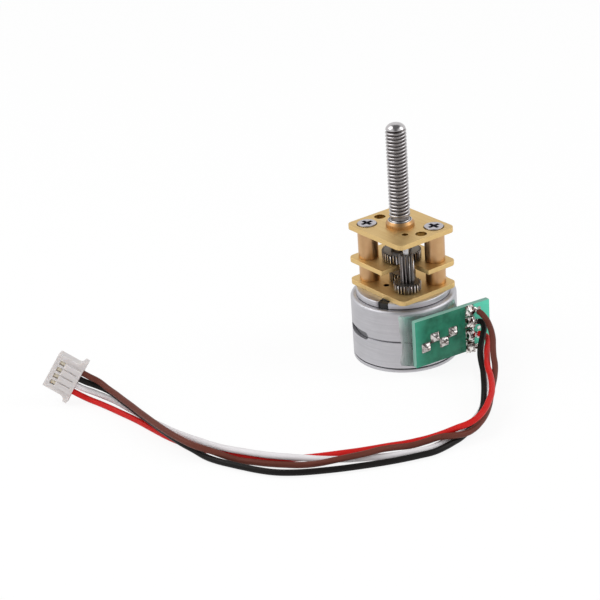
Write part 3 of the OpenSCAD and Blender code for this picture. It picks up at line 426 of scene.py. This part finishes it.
# the turned, blanked and drawn pieces: edge break in millimetres
softSet = [
    ("bottom_cover", "base_cover_tin", "base", [tinSteel], "can", 0.06),
    ("lower_shell", "lower_cup_tin", "base", [tinSteel, seamShadeTin], "can", 0.05, inSeam),
    ("upper_shell", "upper_cup_tin", "base", [tinSteel, seamShadeTin], "can", 0.05, inSeam),
    ("motor_plate", "motor_plate_brass", "base", [brassSheet, spareHoleShade], "brass", 0.08, inSpareHole),
    ("middle_plate", "middle_plate_brass", "base", [brassSheet], "brass", 0.08),
    ("front_plate", "front_plate_brass", "base", [brassSheet, tappedBrassShaded], "brass", 0.08, inHole),
    ("lower_spacers", "lower_spacers_brass", "base", [brassBar], "brass", 0.06),
    ("upper_spacers", "upper_spacers_brass", "base", [brassBar], "brass", 0.06),
    ("clamp_screws", "clamp_screws_nickel", "base", [nickelSteel, recessShadeAndCutEnds], "screw_steel", 0.05, inRecess),
    ("output_bush", "bush_bronze", "base", [bronze, groundSteel], "bronze", 0.1, onBushRim, 3),
    ("gear_arbor", "arbor_steel", "base", [groundSteel], "shaft_steel", 0.05),
    ("upper_bobbin", "bobbin_tab_black", "base", [blackPlastic], "black_plastic", 0.06),
    ("plug_housing", "plug_nylon", "base", [nylon], "plug_nylon", 0.06),
    ("plug_contacts", "plug_contacts_brass", "base", [contactStrip], "contact_brass", 0.05),
    ("rotor_shaft", "rotor_shaft_steel", "rotor", [groundSteel], "shaft_steel", 0.05),
]
softened = {row[0]: softenEdges(*row) for row in softSet}
print("edges broken on", len(softened), "pieces")

# front flange: pressed ring with a painted shade line at its foot, in millimetres
flangeSet = {"foot": 9.42, "rim": 6.4, "wall": 0.5}


def makeFlange():
    bm = cadCopy("front_flange")
    bmesh.ops.bisect_plane(bm, geom=bm.verts[:] + bm.edges[:] + bm.faces[:],
                           plane_co=(0, 0, flangeSet["foot"] * mm), plane_no=(0, 0, 1))
    bm.normal_update()
    for f in bm.faces:
        place = f.calc_center_median() / mm
        # the flange's wall below the foot is painted dark as shade where the flange meets the can
        outside = place.xy.length > flangeSet["rim"] and abs(f.normal.z) < flangeSet["wall"]
        f.material_index = 1 if outside and place.z < flangeSet["foot"] else 0
    finishPiece("flange_tin", bm, "base", [tinSteel, flangeFootShade], ["front_flange"], weighted=True)


makeFlange()

# gears: involute teeth from the CAD, each face with its own finish: lands lighter as wear and painted
# highlight, flanks darker as painted shade, in millimetres
gearSet = {
    "motor_pinion": {"body": "rotor", "axis": (0.0, 0.0), "tip": 1.865},
    "compound_wheel": {"body": "compound", "axis": (3.086, -1.704), "tip": 1.94},
    "compound_pinion": {"body": "compound", "axis": (3.086, -1.704), "tip": 1.0175},
    "output_gear": {"body": "output", "axis": (0.0, 0.0), "tip": 2.7875},
}
toothToneSet = {"land": 0.03, "wall": 0.5}


def makeGear(node):
    one = gearSet[node]
    bm = cadCopy(node, joinFlat=False)
    bm.normal_update()
    for f in bm.faces:
        place = f.calc_center_median() / mm
        reach = (place.xy - Vector(one["axis"])).length
        # tooth tips take the lighter land, worn and with a painted highlight; the rest of the sides take the
        # painted flank shade
        worn = 1 if reach > one["tip"] - toothToneSet["land"] else 2
        f.material_index = 0 if abs(f.normal.z) > toothToneSet["wall"] else worn
    finishPiece(node + "_worn_and_shaded", bm, one["body"], [gearFace, gearLandWornLit, gearFlankShade], [node])


for node in gearSet:
    makeGear(node)
print("gears worn:", len(gearSet))

# CAD solids inside the can, whose shape is right: only the finish is added
plainSet = {
    "lower_bobbin": blackPlastic, "lower_coil": enamelCopper, "upper_coil": enamelCopper,
    "lower_yoke": poleSteel, "upper_yoke": poleSteel, "rear_bearing": bronze, "front_bearing": bronze,
    "rotor_magnet": ferrite,
}
for node, mat in plainSet.items():
    cadNodes[node].data.materials.clear()
    cadNodes[node].data.materials.append(mat)

# lead screw: M3 by 0.5 right-hand thread, in millimetres; ridge is one pitch of it as height and radius
screwSet = {
    "pitch": 0.5, "sides": 96, "turns": 28, "firstCrest": 20.158, "runOut": 0.3,
    "neckFrom": 20.3, "threadFrom": 20.9, "threadTo": 33.1, "lastGroove": 33.55, "radius": 1.47,
    "ridge": [(-0.045, 1.455), (0.0, 1.47), (0.045, 1.455), (0.1, 1.345), (0.188, 1.17), (0.312, 1.17),
              (0.4, 1.345)],
    "shadeFrom": 0.1, "shadeTo": 0.4, "tipRadius": 1.15, "tipSteps": 12,
    "shank": [(0.0, 13.4), (0.69, 13.4), (0.75, 13.46), (0.75, 14.3), (0.95, 14.3), (1.0, 14.35),
              (1.0, 15.65), (1.43, 15.65), (1.48, 15.7), (1.48, 17.3), (1.85, 17.3), (1.9, 17.35),
              (1.9, 17.7), (1.85, 17.75), (1.48, 17.75), (1.48, 20.22), (1.4, 20.3), (1.24, 20.34),
              (1.22, 20.4), (1.22, 20.82), (1.47, 20.9)],
    "mergeWithin": 0.001, "thinnest": 0.0005, "smooth": 50.0,
}


def spinOutline(bm, outline, sides, rise=0.0):  # radius and height, spun round the axis, or up a helix
    chain = [bm.verts.new((r * mm, 0, z * mm)) for r, z in outline]
    edges = [bm.edges.new(pair) for pair in zip(chain, chain[1:])]
    bmesh.ops.spin(bm, geom=chain + edges, cent=(0, 0, 0), axis=(0, 0, 1), dvec=(0, 0, rise * mm / sides),
                   angle=2 * math.pi, steps=sides, use_merge=not rise)
    return chain


def makeThread(bm):
    one = screwSet
    feet = [one["firstCrest"] + one["pitch"] * k for k in range(one["turns"])]
    rows = [(r, foot + up) for foot in feet for up, r in one["ridge"]]
    spinOutline(bm, rows, one["sides"], one["pitch"])  # after a full turn the helix is one pitch up
    for f in bm.faces:
        place = f.calc_center_median() / mm
        turn = math.atan2(place.y, place.x) / (2 * math.pi) % 1.0
        up = (place.z - one["firstCrest"] - one["pitch"] * turn) % one["pitch"]  # height in its own pitch
        # the band round the groove takes the painted shade
        f.material_index = 1 if one["shadeFrom"] < up < one["shadeTo"] else 0
    for v in bm.verts:
        z = min(one["lastGroove"], max(one["threadFrom"], v.co.z / mm))
        inner = min(z - one["threadFrom"], one["lastGroove"] - z)  # the groove runs out at both ends
        slope = max(0.0, z - one["threadTo"]) / one["tipRadius"]
        full = one["radius"] - one["tipRadius"] * (1 - math.sqrt(1 - slope * slope))
        r = full - (one["radius"] - v.co.xy.length / mm) * min(1.0, inner / one["runOut"])
        v.co.xy = v.co.xy.normalized() * r * mm
        v.co.z = z * mm


def makeScrew():
    one = screwSet
    bm = bmesh.new()
    makeThread(bm)
    spinOutline(bm, one["shank"], one["sides"])
    start = math.asin((one["lastGroove"] - one["threadTo"]) / one["tipRadius"])  # above the last turn
    arc = [start + (math.pi / 2 - start) * i / one["tipSteps"] for i in range(one["tipSteps"] + 1)]
    roundEnd = [(one["radius"] - one["tipRadius"] * (1 - math.cos(a)),
                 one["threadTo"] + one["tipRadius"] * math.sin(a)) for a in arc]
    spinOutline(bm, roundEnd + [(0.0, one["threadTo"] + one["tipRadius"])], one["sides"])
    for f in bm.faces:
        if one["neckFrom"] * mm < f.calc_center_median().z < one["threadFrom"] * mm:
            f.material_index = 1  # the neck takes the groove's painted shade
    bmesh.ops.remove_doubles(bm, verts=bm.verts, dist=one["mergeWithin"] * mm)
    bmesh.ops.dissolve_degenerate(bm, dist=one["thinnest"] * mm, edges=bm.edges)
    bmesh.ops.recalc_face_normals(bm, faces=bm.faces)
    return finishPiece("lead_screw_thread", bm, "output", [threadSteel, threadGrooveShade], ["lead_screw"],
                       one["smooth"])


screw = makeScrew()
print("lead screw threaded,", len(screw.data.polygons), "faces")

# circuit board in its own turned frame, in millimetres: out of the board, along it, up
boardSet = {
    "turn": -6.5, "face": 8.5, "thick": 0.8, "left": -3.75, "wide": 12.5, "low": 1.45, "high": 7.0,
    "pins": [(-2.0, 4.14), (-0.5, 5.26), (1.0, 4.14), (2.5, 5.26)],
    "joints": [(5.3, 7.75), (5.3, 5.85), (5.3, 3.95), (5.3, 2.05)], "pinOfJoint": (3, 1, 2, 0),
    "holes": [(6.95, 7.55), (6.85, 4.6), (6.75, 3.3)], "holePad": 0.3, "holeRise": 0.04, "holeSides": 32,
    "padHalf": 0.62, "padRise": 0.04, "jointPad": (1.4, 1.7), "jointRise": 0.045, "padEdge": 0.02,
    "foil": 0.03, "track": 0.55, "pinTrack": 0.9, "jointTrack": 1.5, "sink": 0.02, "edge": 0.05,
    "weave": 0.986, "pourFrom": -2.9, "fadeLeft": (-0.6, 1.1), "pourTo": 6.05, "fadeRight": (-0.1, 0.1),
    "flat": 0.9, "smooth": 30.0,
}
boardTurn = Matrix.Rotation(math.radians(boardSet["turn"]), 4, "Z")
boardLevel = (0, 0, math.radians(-boardSet["turn"]))  # turns a pattern along the board


def maskMaterial():
    # solder mask on glass-fibre board, screen coated: dark green over the copper, bright over bare cloth
    mat, tree, skin, spot = startMaterial("solder mask green screen coated")
    turned = addNode(tree, "ShaderNodeMapping", {"Vector": spot, "Rotation": boardLevel})
    bands = perMm(boardSet["weave"]) * math.tau / 20  # 20 radians per unit; drawn coarse, so that it shows
    warp, weft = (addNode(tree, "ShaderNodeTexWave", {
        "Vector": turned.outputs[0], "Scale": bands, "Distortion": 1.0}, bands_direction=way) for way in "YZ")
    weave = addNode(tree, "ShaderNodeMath", {
        0: warp.outputs["Fac"], 1: weft.outputs["Fac"]}, operation="MULTIPLY")
    cloud = addNode(tree, "ShaderNodeTexNoise", {"Vector": spot, "Scale": perMm(1.8), "Detail": 4.0})
    smudge = addNode(tree, "ShaderNodeMapRange", {
        "Value": cloud.outputs["Fac"], "From Min": 0.34, "From Max": 0.66})
    level = addNode(tree, "ShaderNodeMath", {
        0: weave.outputs[0], 1: 0.2, 2: smudge.outputs[0]}, operation="MULTIPLY_ADD")
    along = addNode(tree, "ShaderNodeSeparateXYZ", {"Vector": turned.outputs[0]}).outputs["Y"]
    leftFrom, leftTo = ((boardSet["pourFrom"] + fade) * mm for fade in boardSet["fadeLeft"])
    left = addNode(tree, "ShaderNodeMapRange", {
        "Value": along, "From Min": leftFrom, "From Max": leftTo, "To Min": 0.32, "To Max": 0.0})
    rightFrom, rightTo = ((boardSet["pourTo"] + fade) * mm for fade in boardSet["fadeRight"])
    right = addNode(tree, "ShaderNodeMapRange", {"Value": along, "From Min": rightFrom, "From Max": rightTo})
    bare = addNode(tree, "ShaderNodeMath", {0: left.outputs[0], 1: right.outputs[0]}, operation="MAXIMUM")
    copper = addNode(tree, "ShaderNodeMix", {
        0: level.outputs[0], 6: hexColour("#0f5b44"), 7: hexColour("#267a5f")}, data_type="RGBA")
    tint = addNode(tree, "ShaderNodeMix", {
        0: bare.outputs[0], 6: copper.outputs[2], 7: hexColour("#58cdae")}, data_type="RGBA")
    relief = addNode(tree, "ShaderNodeBump", {
        "Height": weave.outputs[0], "Strength": 0.3, "Distance": 0.006 * mm})
    setInputs(tree, skin, {
        "Base Color": tint.outputs[2], "Normal": relief.outputs[0], "Roughness": 0.36, "IOR": 1.52,
        "Specular IOR Level": 0.3})
    return mat


def fibreMaterial():
    # glass-fibre laminate, routed: pale sea-green edge with layers of cloth
    mat, tree, skin, spot = startMaterial("glass fibre laminate routed")
    layers = addNode(tree, "ShaderNodeMapping", {
        "Vector": spot, "Rotation": boardLevel, "Scale": (perMm(0.16), perMm(2.0), perMm(2.0))})
    cloth = addNode(tree, "ShaderNodeTexNoise", {"Vector": layers.outputs[0], "Scale": 1.0, "Detail": 4.0})
    tint = addNode(tree, "ShaderNodeMix", {
        0: cloth.outputs["Fac"], 6: hexColour("#5f9c8a"), 7: hexColour("#94bdb0")}, data_type="RGBA")
    relief = addNode(tree, "ShaderNodeBump", {
        "Height": cloth.outputs["Fac"], "Strength": 0.4, "Distance": 0.01 * mm})
    setInputs(tree, skin, {"Base Color": tint.outputs[2], "Normal": relief.outputs[0], "Roughness": 0.6})
    return mat


def solderMaterial(name, stain, clean, stainFrom, stainTo):
    # tin-lead solder, melted by hand: mirror-like with dull frosted patches
    mat, tree, skin, spot = startMaterial(name, 1.0)
    patch = addNode(tree, "ShaderNodeTexNoise", {
        "Vector": spot, "Scale": perMm(0.6), "Detail": 4.0, "Roughness": 0.6})
    frost = addNode(tree, "ShaderNodeTexNoise", {"Vector": spot, "Scale": perMm(0.35), "Detail": 2.0})
    cover = addNode(tree, "ShaderNodeMapRange", {
        "Value": patch.outputs["Fac"], "From Min": stainFrom, "From Max": stainTo})
    tint = addNode(tree, "ShaderNodeMix", {
        0: cover.outputs[0], 6: hexColour(stain), 7: hexColour(clean)}, data_type="RGBA")
    dull = addNode(tree, "ShaderNodeMapRange", {
        "Value": patch.outputs["Fac"], "From Min": 0.35, "From Max": 0.7, "To Min": 0.08, "To Max": 0.22})
    relief = addNode(tree, "ShaderNodeBump", {
        "Height": frost.outputs["Fac"], "Strength": 0.5, "Distance": 0.04 * mm})
    setInputs(tree, skin, {
        "Base Color": tint.outputs[2], "Roughness": dull.outputs[0], "Normal": relief.outputs[0]})
    return mat


greenMask = maskMaterial()
fibre = fibreMaterial()
# clean solder round the coil pins: grey stains at most
solder = solderMaterial("solder hand made", "#5d524d", "#dedad7", 0.36, 0.62)
# the same solder over the wire ends: burnt flux lies brown in its hollows
fluxSolder = solderMaterial("solder with burnt flux", "#4a352f", "#efebe7", 0.42, 0.56)


def slab(bm, low, high, edge, faceMat, sideMat):  # box between two corners of the board's frame, edges broken
    made = bmesh.ops.create_cube(bm, size=1.0)["verts"]
    bmesh.ops.scale(bm, vec=(Vector(high) - Vector(low)) * mm, verts=made)
    bmesh.ops.translate(bm, vec=(Vector(low) + Vector(high)) / 2 * mm, verts=made)
    for f in {f for v in made for f in v.link_faces}:
        f.normal_update()
        f.material_index = faceMat if abs(f.normal.x) > boardSet["flat"] else sideMat
    if edge:
        breakEdges(bm, list({e for v in made for e in v.link_edges}), edge, 2)


def makeBoard():
    one = boardSet
    bm = bmesh.new()
    front, under, half = one["face"], one["face"] - one["sink"], one["track"] / 2
    top = one["low"] + one["high"]
    slab(bm, (front - one["thick"], one["left"], one["low"]), (front, one["left"] + one["wide"], top),
         one["edge"], 0, 1)
    for (s, z), pin in zip(one["joints"], one["pinOfJoint"]):
        pinS, pinZ = one["pins"][pin]
        foil = front + one["foil"]
        slab(bm, (under, pinS, pinZ - half), (foil, pinS + one["pinTrack"], pinZ + half), 0.0, 0, 0)
        slab(bm, (under, s - one["jointTrack"], z - half), (foil, s, z + half), 0.0, 0, 0)
        wide, tall = one["jointPad"]
        padTop = min(z + tall / 2, top - one["edge"])
        slab(bm, (under, s - wide / 2, z - tall / 2), (front + one["jointRise"], s + wide / 2, padTop),
             one["padEdge"], 3, 3)
    for s, z in one["pins"]:
        pad = one["padHalf"]
        slab(bm, (under, s - pad, z - pad), (front + one["padRise"], s + pad, z + pad), one["padEdge"], 2, 2)
    for s, z in one["holes"]:
        made = bmesh.ops.create_cone(bm, cap_ends=True, segments=one["holeSides"],
                                     radius1=one["holePad"] * mm, radius2=one["holePad"] * mm,
                                     depth=2 * one["holeRise"] * mm)["verts"]
        bmesh.ops.rotate(bm, matrix=Matrix.Rotation(math.radians(90), 3, "Y"), verts=made)
        bmesh.ops.translate(bm, vec=Vector((front, s, z)) * mm, verts=made)
        for f in {f for v in made for f in v.link_faces}:
            f.material_index = 2
    bmesh.ops.transform(bm, matrix=boardTurn, verts=bm.verts)
    finishPiece("circuit_board_coated", bm, "base", [greenMask, fibre, solder, fluxSolder], ["circuit_board"],
                one["smooth"])


makeBoard()

# solder: squared menisci round the coil pins, lumps over the wire ends; radius and height in millimetres
solderSet = {
    "pin": {
        "piece": "pin_solder_beads", "node": "pin_solder", "finish": solder,
        "spots": boardSet["pins"],
        "profile": [(0.76, 0.0), (0.73, 0.06), (0.58, 0.22), (0.43, 0.4), (0.31, 0.58), (0.22, 0.72),
                    (0.12, 0.78), (0.0, 0.8)],
        "lump": 0.045, "power": 9.0, "stretch": (1.0, 1.0, 1.0), "firstSeed": 1, "wires": [],
    },
    "joint": {
        "piece": "wire_solder_beads", "node": "wire_solder", "finish": fluxSolder,
        "spots": boardSet["joints"],
        "profile": [(0.78, 0.0), (0.8, 0.15), (0.76, 0.36), (0.64, 0.56), (0.45, 0.7), (0.2, 0.77),
                    (0.0, 0.78)],
        "lump": 0.4, "power": 4.0, "stretch": (1.0, 0.86, 1.0), "firstSeed": 5,
        "wires": ["brown", "black", "red", "white"],
    },
    "sides": 48, "lumpSeed": 12, "lumpsPerMm": 1.5, "lumpShift": (7.3, 3.1, 5.7), "lumpAside": 0.6,
    "lumpAtFoot": 0.35, "lumpFull": 0.2, "sink": 0.02, "mergeWithin": 0.001, "smooth": 50.0,
    "strandRadius": 0.11, "strandSides": 10,
    "strandFan": [(-0.26, 0.05), (-0.12, 0.2), (0.05, 0.08), (0.16, 0.24), (0.28, 0.02)],  # up and out
    # each strand: out, share of its own out, along, share of the way up to the wire, share of its own up
    "strandPath": [(0.35, 0.0, 0.3, 0.0, 0.9), (0.4, 0.6, 0.75, 0.0, 1.1), (0.42, 1.0, 1.05, 0.5, 1.0),
                   (0.36, 1.0, 1.3, 1.0, 0.8)],
}


def solderBead(bm, kind, s, z, seed):
    near = set(spinOutline(bm, kind["profile"], solderSet["sides"]))
    grown = near
    while grown:  # all that hangs together with this profile
        grown = {e.other_vert(v) for v in grown for e in v.link_edges} - near
        near |= grown
    verts = list(near)
    for v in verts:
        a = math.atan2(v.co.y, v.co.x)
        power = kind["power"]
        v.co.xy *= (abs(math.cos(a)) ** power + abs(math.sin(a)) ** power) ** (-1 / power)  # rounded square
    bmesh.ops.scale(bm, vec=kind["stretch"], verts=verts)
    for v in verts:
        rise = min(1.0, v.co.z / (solderSet["lumpFull"] * mm) + solderSet["lumpAtFoot"])
        push = noise.noise_vector(v.co / mm * solderSet["lumpsPerMm"] + Vector(solderSet["lumpShift"]) * seed)
        push.xy *= solderSet["lumpAside"]
        v.co += push * kind["lump"] * rise * mm
        v.co.z = max(v.co.z, -solderSet["sink"] * mm)
    bmesh.ops.rotate(bm, matrix=Matrix.Rotation(math.radians(90), 3, "Y"), verts=verts)
    bmesh.ops.translate(bm, vec=Vector((boardSet["face"], s, z)) * mm, verts=verts)


def strand(bm, points):  # one bared copper strand, tinned
    ring = bmesh.ops.create_circle(bm, cap_ends=True, segments=solderSet["strandSides"],
                                   radius=solderSet["strandRadius"] * mm)["verts"]
    across = Matrix.Rotation(math.radians(90), 3, "X") @ Matrix.Rotation(math.radians(-90), 3, "Z")
    bmesh.ops.rotate(bm, matrix=across, verts=ring)
    bmesh.ops.translate(bm, vec=points[0] * mm, verts=ring)
    cap = ring[0].link_faces[0]
    for near, far in zip(points, points[1:]):
        grown = bmesh.ops.extrude_face_region(bm, geom=[cap, *cap.edges, *cap.verts])["geom"]
        cap = next(part for part in grown if isinstance(part, bmesh.types.BMFace))
        bmesh.ops.translate(bm, vec=(far - near) * mm, verts=cap.verts[:])


def makeSolder(kind):
    bm = bmesh.new()
    for i, (s, z) in enumerate(kind["spots"]):
        solderBead(bm, kind, s, z, kind["firstSeed"] + i)
    for (s, z), colour in zip(kind["spots"], kind["wires"]):  # the bared strands run into the solder
        end = wireSet[colour]["start"][2]
        for up, out in solderSet["strandFan"]:
            strand(bm, [Vector((boardSet["face"] + lift + out * fan, s + along,
                                z + (end - z) * way + up * spread))
                        for lift, fan, along, way, spread in solderSet["strandPath"]])
    bmesh.ops.remove_doubles(bm, verts=bm.verts, dist=solderSet["mergeWithin"] * mm)
    bmesh.ops.recalc_face_normals(bm, faces=bm.faces)
    bmesh.ops.transform(bm, matrix=boardTurn, verts=bm.verts)
    finishPiece(kind["piece"], bm, "base", [kind["finish"]], [kind["node"]], solderSet["smooth"])


noise.seed_set(solderSet["lumpSeed"])  # the same lumps on each run
makeSolder(solderSet["pin"])
makeSolder(solderSet["joint"])

# coil pins: cut ends, in millimetres out from the axis
pinSet = {"edge": 0.04, "endFrom": 9.0, "wall": 0.5, "facing": 0.7}


def atPinEnd(place, normal):
    turn = math.radians(boardSet["turn"])
    out = place.x * math.cos(turn) + place.y * math.sin(turn)
    return out > pinSet["endFrom"] and abs(normal.z) < pinSet["wall"] and normal.x > pinSet["facing"]


softenEdges("coil_pins", "coil_pins_tinned", "base", [nickelSteel, recessShadeAndCutEnds], "tinned_pin", pinSet["edge"],
            atPinEnd)
print("board, pins and solder made")

# resin block, in millimetres, wander in radians: reach is the can's wall, which the resin wets
blockSet = {
    "reach": 7.56, "wet": 0.06, "edge": 0.7, "rounds": 4, "slices": 16, "onPlane": 0.0001,
    "wander": 0.05, "wave": 1.1, "waveAt": (0.3, 0.7),
    "canSide": 5.8, "clearFrom": 7.2, "boardSide": 7.8, "highlightFrom": 6.6, "highlightTo": 8.4, "streak": 0.8,
}


def resinMaterial():
    # clear epoxy, poured: glassy and streaked, green towards the board; grey and cloudy towards the can,
    # where the lit can's tone is painted in; lighter near the top as a painted highlight
    mat, tree, skin, spot = startMaterial("epoxy poured clear painted can tone and highlight")
    turned = addNode(tree, "ShaderNodeMapping", {"Vector": spot, "Rotation": boardLevel})
    drawn = addNode(tree, "ShaderNodeMapping", {
        "Vector": turned.outputs[0], "Scale": (1, 1, 0.22)})  # the streaks run up the block
    streak = addNode(tree, "ShaderNodeTexNoise", {
        "Vector": drawn.outputs[0], "Scale": perMm(blockSet["streak"]), "Detail": 2.0, "Distortion": 0.6})
    parts = addNode(tree, "ShaderNodeSeparateXYZ", {"Vector": turned.outputs[0]})
    depth = addNode(tree, "ShaderNodeMapRange", {
        "Value": parts.outputs["X"],
        "From Min": blockSet["canSide"] * mm, "From Max": blockSet["boardSide"] * mm})
    # the top of the block lightens towards a painted highlight
    height = addNode(tree, "ShaderNodeMapRange", {
        "Value": parts.outputs["Z"],
        "From Min": blockSet["highlightFrom"] * mm, "From Max": blockSet["highlightTo"] * mm})
    # towards the can the lit can's grey is painted in, towards the board the green
    body = addNode(tree, "ShaderNodeMix", {
        0: depth.outputs[0], 6: hexColour("#b9b9bd"), 7: hexColour("#a6d9c8")}, data_type="RGBA")
    upper = addNode(tree, "ShaderNodeMix", {
        0: height.outputs[0], 6: body.outputs[2], 7: hexColour("#b4efdf")}, data_type="RGBA")
    share = addNode(tree, "ShaderNodeMapRange", {
        "Value": streak.outputs["Fac"], "From Min": 0.38, "From Max": 0.62})
    smear = addNode(tree, "ShaderNodeMix", {
        0: 0.55, 6: upper.outputs[2], 7: hexColour("#f1f5f3")}, data_type="RGBA")
    tint = addNode(tree, "ShaderNodeMix", {
        0: share.outputs[0], 6: upper.outputs[2], 7: smear.outputs[2]}, data_type="RGBA")
    # less transmission towards the can, so that the lamps light the painted can tone
    clear = addNode(tree, "ShaderNodeMapRange", {
        "Value": parts.outputs["X"],
        "From Min": blockSet["canSide"] * mm, "From Max": blockSet["clearFrom"] * mm,
        "To Min": 0.45, "To Max": 0.92})
    relief = addNode(tree, "ShaderNodeBump", {
        "Height": streak.outputs["Fac"], "Strength": 0.5, "Distance": 0.12 * mm})
    setInputs(tree, skin, {
        "Base Color": tint.outputs[2], "Normal": relief.outputs[0], "Transmission Weight": clear.outputs[0],
        "Roughness": 0.1, "IOR": 1.5})
    return mat


def makeBlock():
    one = blockSet
    bm = cadCopy("terminal_block")
    wetted = {v for v in bm.verts if v.co.xy.length < one["reach"] * mm}
    hard = [e for e in hardEdges(bm) if not wetted & set(e.verts)]
    for v in wetted:
        v.co.xy -= v.co.xy.normalized() * one["wet"] * mm
    breakEdges(bm, hard, one["edge"], one["rounds"])
    low, high = min(v.co.z for v in bm.verts), max(v.co.z for v in bm.verts)
    for i in range(1, one["slices"]):
        bmesh.ops.bisect_plane(bm, geom=bm.verts[:] + bm.edges[:] + bm.faces[:], dist=one["onPlane"] * mm,
                               plane_co=(0, 0, low + (high - low) * i / one["slices"]), plane_no=(0, 0, 1))
    for v in bm.verts:  # the poured edge wanders along the can
        if v.co.y < 0 and v.co.xy.length < one["reach"] * mm:
            swing = noise.noise((*one["waveAt"], v.co.z / (one["wave"] * mm))) * one["wander"]
            v.co = Matrix.Rotation(swing, 3, "Z") @ v.co
    finishPiece("terminal_block_epoxy", bm, "base", [resinMaterial()], ["terminal_block"],
                weighted=True)


makeBlock()
print("resin block made")

# studio, in metres: white table and three soft boxes, with place, size, power and whether metal shows them
studioSet = {
    "floorHalf": 3.0, "floorDrop": 0.00002, "floorGlow": 0.88, "aim": (0, -0.015, 0.01),
    "lamps": [
        ("softbox left", (-0.22, -0.26, 0.42), 0.34, 0.9, True),
        ("softbox right", (0.30, 0.34, 0.36), 0.30, 0.7, True),
        ("softbox front", (0.40, -0.32, 0.40), 0.34, 1.0, False),
    ],
    # the room that shines back from metal: white walls, and a dark strip from overhead down to the camera
    "ambient": 0.55, "walls": 1.0, "strip": 0.2,
    "across": (0.599, 0.801, 0.0), "wallBeside": (0.12, 0.6),
    "towards": (0.819, -0.573, 0.0), "wallBehind": (-0.1, -0.5), "ceiling": (0.7, 0.9),
}


def makeFloor():
    bm = bmesh.new()
    bmesh.ops.create_grid(bm, x_segments=1, y_segments=1, size=studioSet["floorHalf"])
    bmesh.ops.translate(bm, vec=(0, 0, -studioSet["floorDrop"]), verts=bm.verts)
    mesh = bpy.data.meshes.new("floor")
    bm.to_mesh(mesh)
    bm.free()
    # white table, painted: plain white that keeps the shadow
    mat = bpy.data.materials.new("white table painted")
    mat.use_nodes = True
    tree = mat.node_tree
    tree.nodes.clear()
    path = addNode(tree, "ShaderNodeLightPath").outputs
    seen = addNode(tree, "ShaderNodeMath", {
        0: path["Is Camera Ray"], 1: path["Is Glossy Ray"]}, operation="MAXIMUM")
    through = addNode(tree, "ShaderNodeMath", {
        0: seen.outputs[0], 1: path["Is Transmission Ray"]}, operation="MAXIMUM")
    share = addNode(tree, "ShaderNodeMath", {
        0: through.outputs[0], 1: studioSet["floorGlow"]}, operation="MULTIPLY")
    paint = addNode(tree, "ShaderNodeBsdfDiffuse", {"Color": hexColour("#fdfdfd")})
    glow = addNode(tree, "ShaderNodeEmission", {"Color": hexColour("#ffffff"), "Strength": 1.0})
    both = addNode(tree, "ShaderNodeMixShader", {
        0: share.outputs[0], 1: paint.outputs[0], 2: glow.outputs[0]})
    addNode(tree, "ShaderNodeOutputMaterial", {"Surface": both.outputs[0]})
    mesh.materials.append(mat)
    floor = bpy.data.objects.new("floor", mesh)
    scene.collection.objects.link(floor)


def hangLamps():
    for name, place, size, power, mirrored in studioSet["lamps"]:
        lamp = bpy.data.lights.new(name, "AREA")
        lamp.size = size
        lamp.energy = power
        held = bpy.data.objects.new(name, lamp)
        held.location = place
        held.rotation_euler = (Vector(studioSet["aim"]) - Vector(place)).to_track_quat("-Z", "Y").to_euler()
        held.visible_glossy = mirrored  # the fill shows in no metal
        scene.collection.objects.link(held)


def makeRoom():
    world = bpy.data.worlds.new("white studio")
    world.use_nodes = True
    tree = world.node_tree
    tree.nodes.clear()
    path = addNode(tree, "ShaderNodeLightPath").outputs
    way = addNode(tree, "ShaderNodeTexCoord").outputs["Generated"]
    across = addNode(tree, "ShaderNodeVectorMath", {
        0: way, 1: studioSet["across"]}, operation="DOT_PRODUCT")
    aside = addNode(tree, "ShaderNodeMath", {0: across.outputs["Value"]}, operation="ABSOLUTE")
    nearest, farthest = studioSet["wallBeside"]
    beside = addNode(tree, "ShaderNodeMapRange", {
        "Value": aside.outputs[0], "From Min": nearest, "From Max": farthest})
    towards = addNode(tree, "ShaderNodeVectorMath", {
        0: way, 1: studioSet["towards"]}, operation="DOT_PRODUCT")
    nearest, farthest = studioSet["wallBehind"]
    behind = addNode(tree, "ShaderNodeMapRange", {
        "Value": towards.outputs["Value"], "From Min": nearest, "From Max": farthest})
    wall = addNode(tree, "ShaderNodeMath", {0: beside.outputs[0], 1: behind.outputs[0]}, operation="MAXIMUM")
    up = addNode(tree, "ShaderNodeSeparateXYZ", {"Vector": way}).outputs["Z"]
    nearest, farthest = studioSet["ceiling"]
    ceiling = addNode(tree, "ShaderNodeMapRange", {
        "Value": up, "From Min": nearest, "From Max": farthest, "To Min": 1.0, "To Max": 0.0})
    lit = addNode(tree, "ShaderNodeMath", {0: wall.outputs[0], 1: ceiling.outputs[0]}, operation="MULTIPLY")
    room = addNode(tree, "ShaderNodeMix", {
        0: lit.outputs[0], 2: studioSet["strip"], 3: studioSet["walls"]}, data_type="FLOAT")
    seen = addNode(tree, "ShaderNodeMath", {
        0: path["Is Camera Ray"], 1: path["Is Transmission Ray"]}, operation="MAXIMUM")
    plain = addNode(tree, "ShaderNodeMix", {
        0: seen.outputs[0], 2: studioSet["ambient"], 3: 1.0}, data_type="FLOAT")
    level = addNode(tree, "ShaderNodeMix", {
        0: path["Is Glossy Ray"], 2: plain.outputs[0], 3: room.outputs[0]}, data_type="FLOAT")
    sky = addNode(tree, "ShaderNodeBackground", {"Color": hexColour("#ffffff"), "Strength": level.outputs[0]})
    addNode(tree, "ShaderNodeOutputWorld", {"Surface": sky.outputs[0]})
    scene.world = world


makeFloor()
hangLamps()
makeRoom()
print("floor and light set")
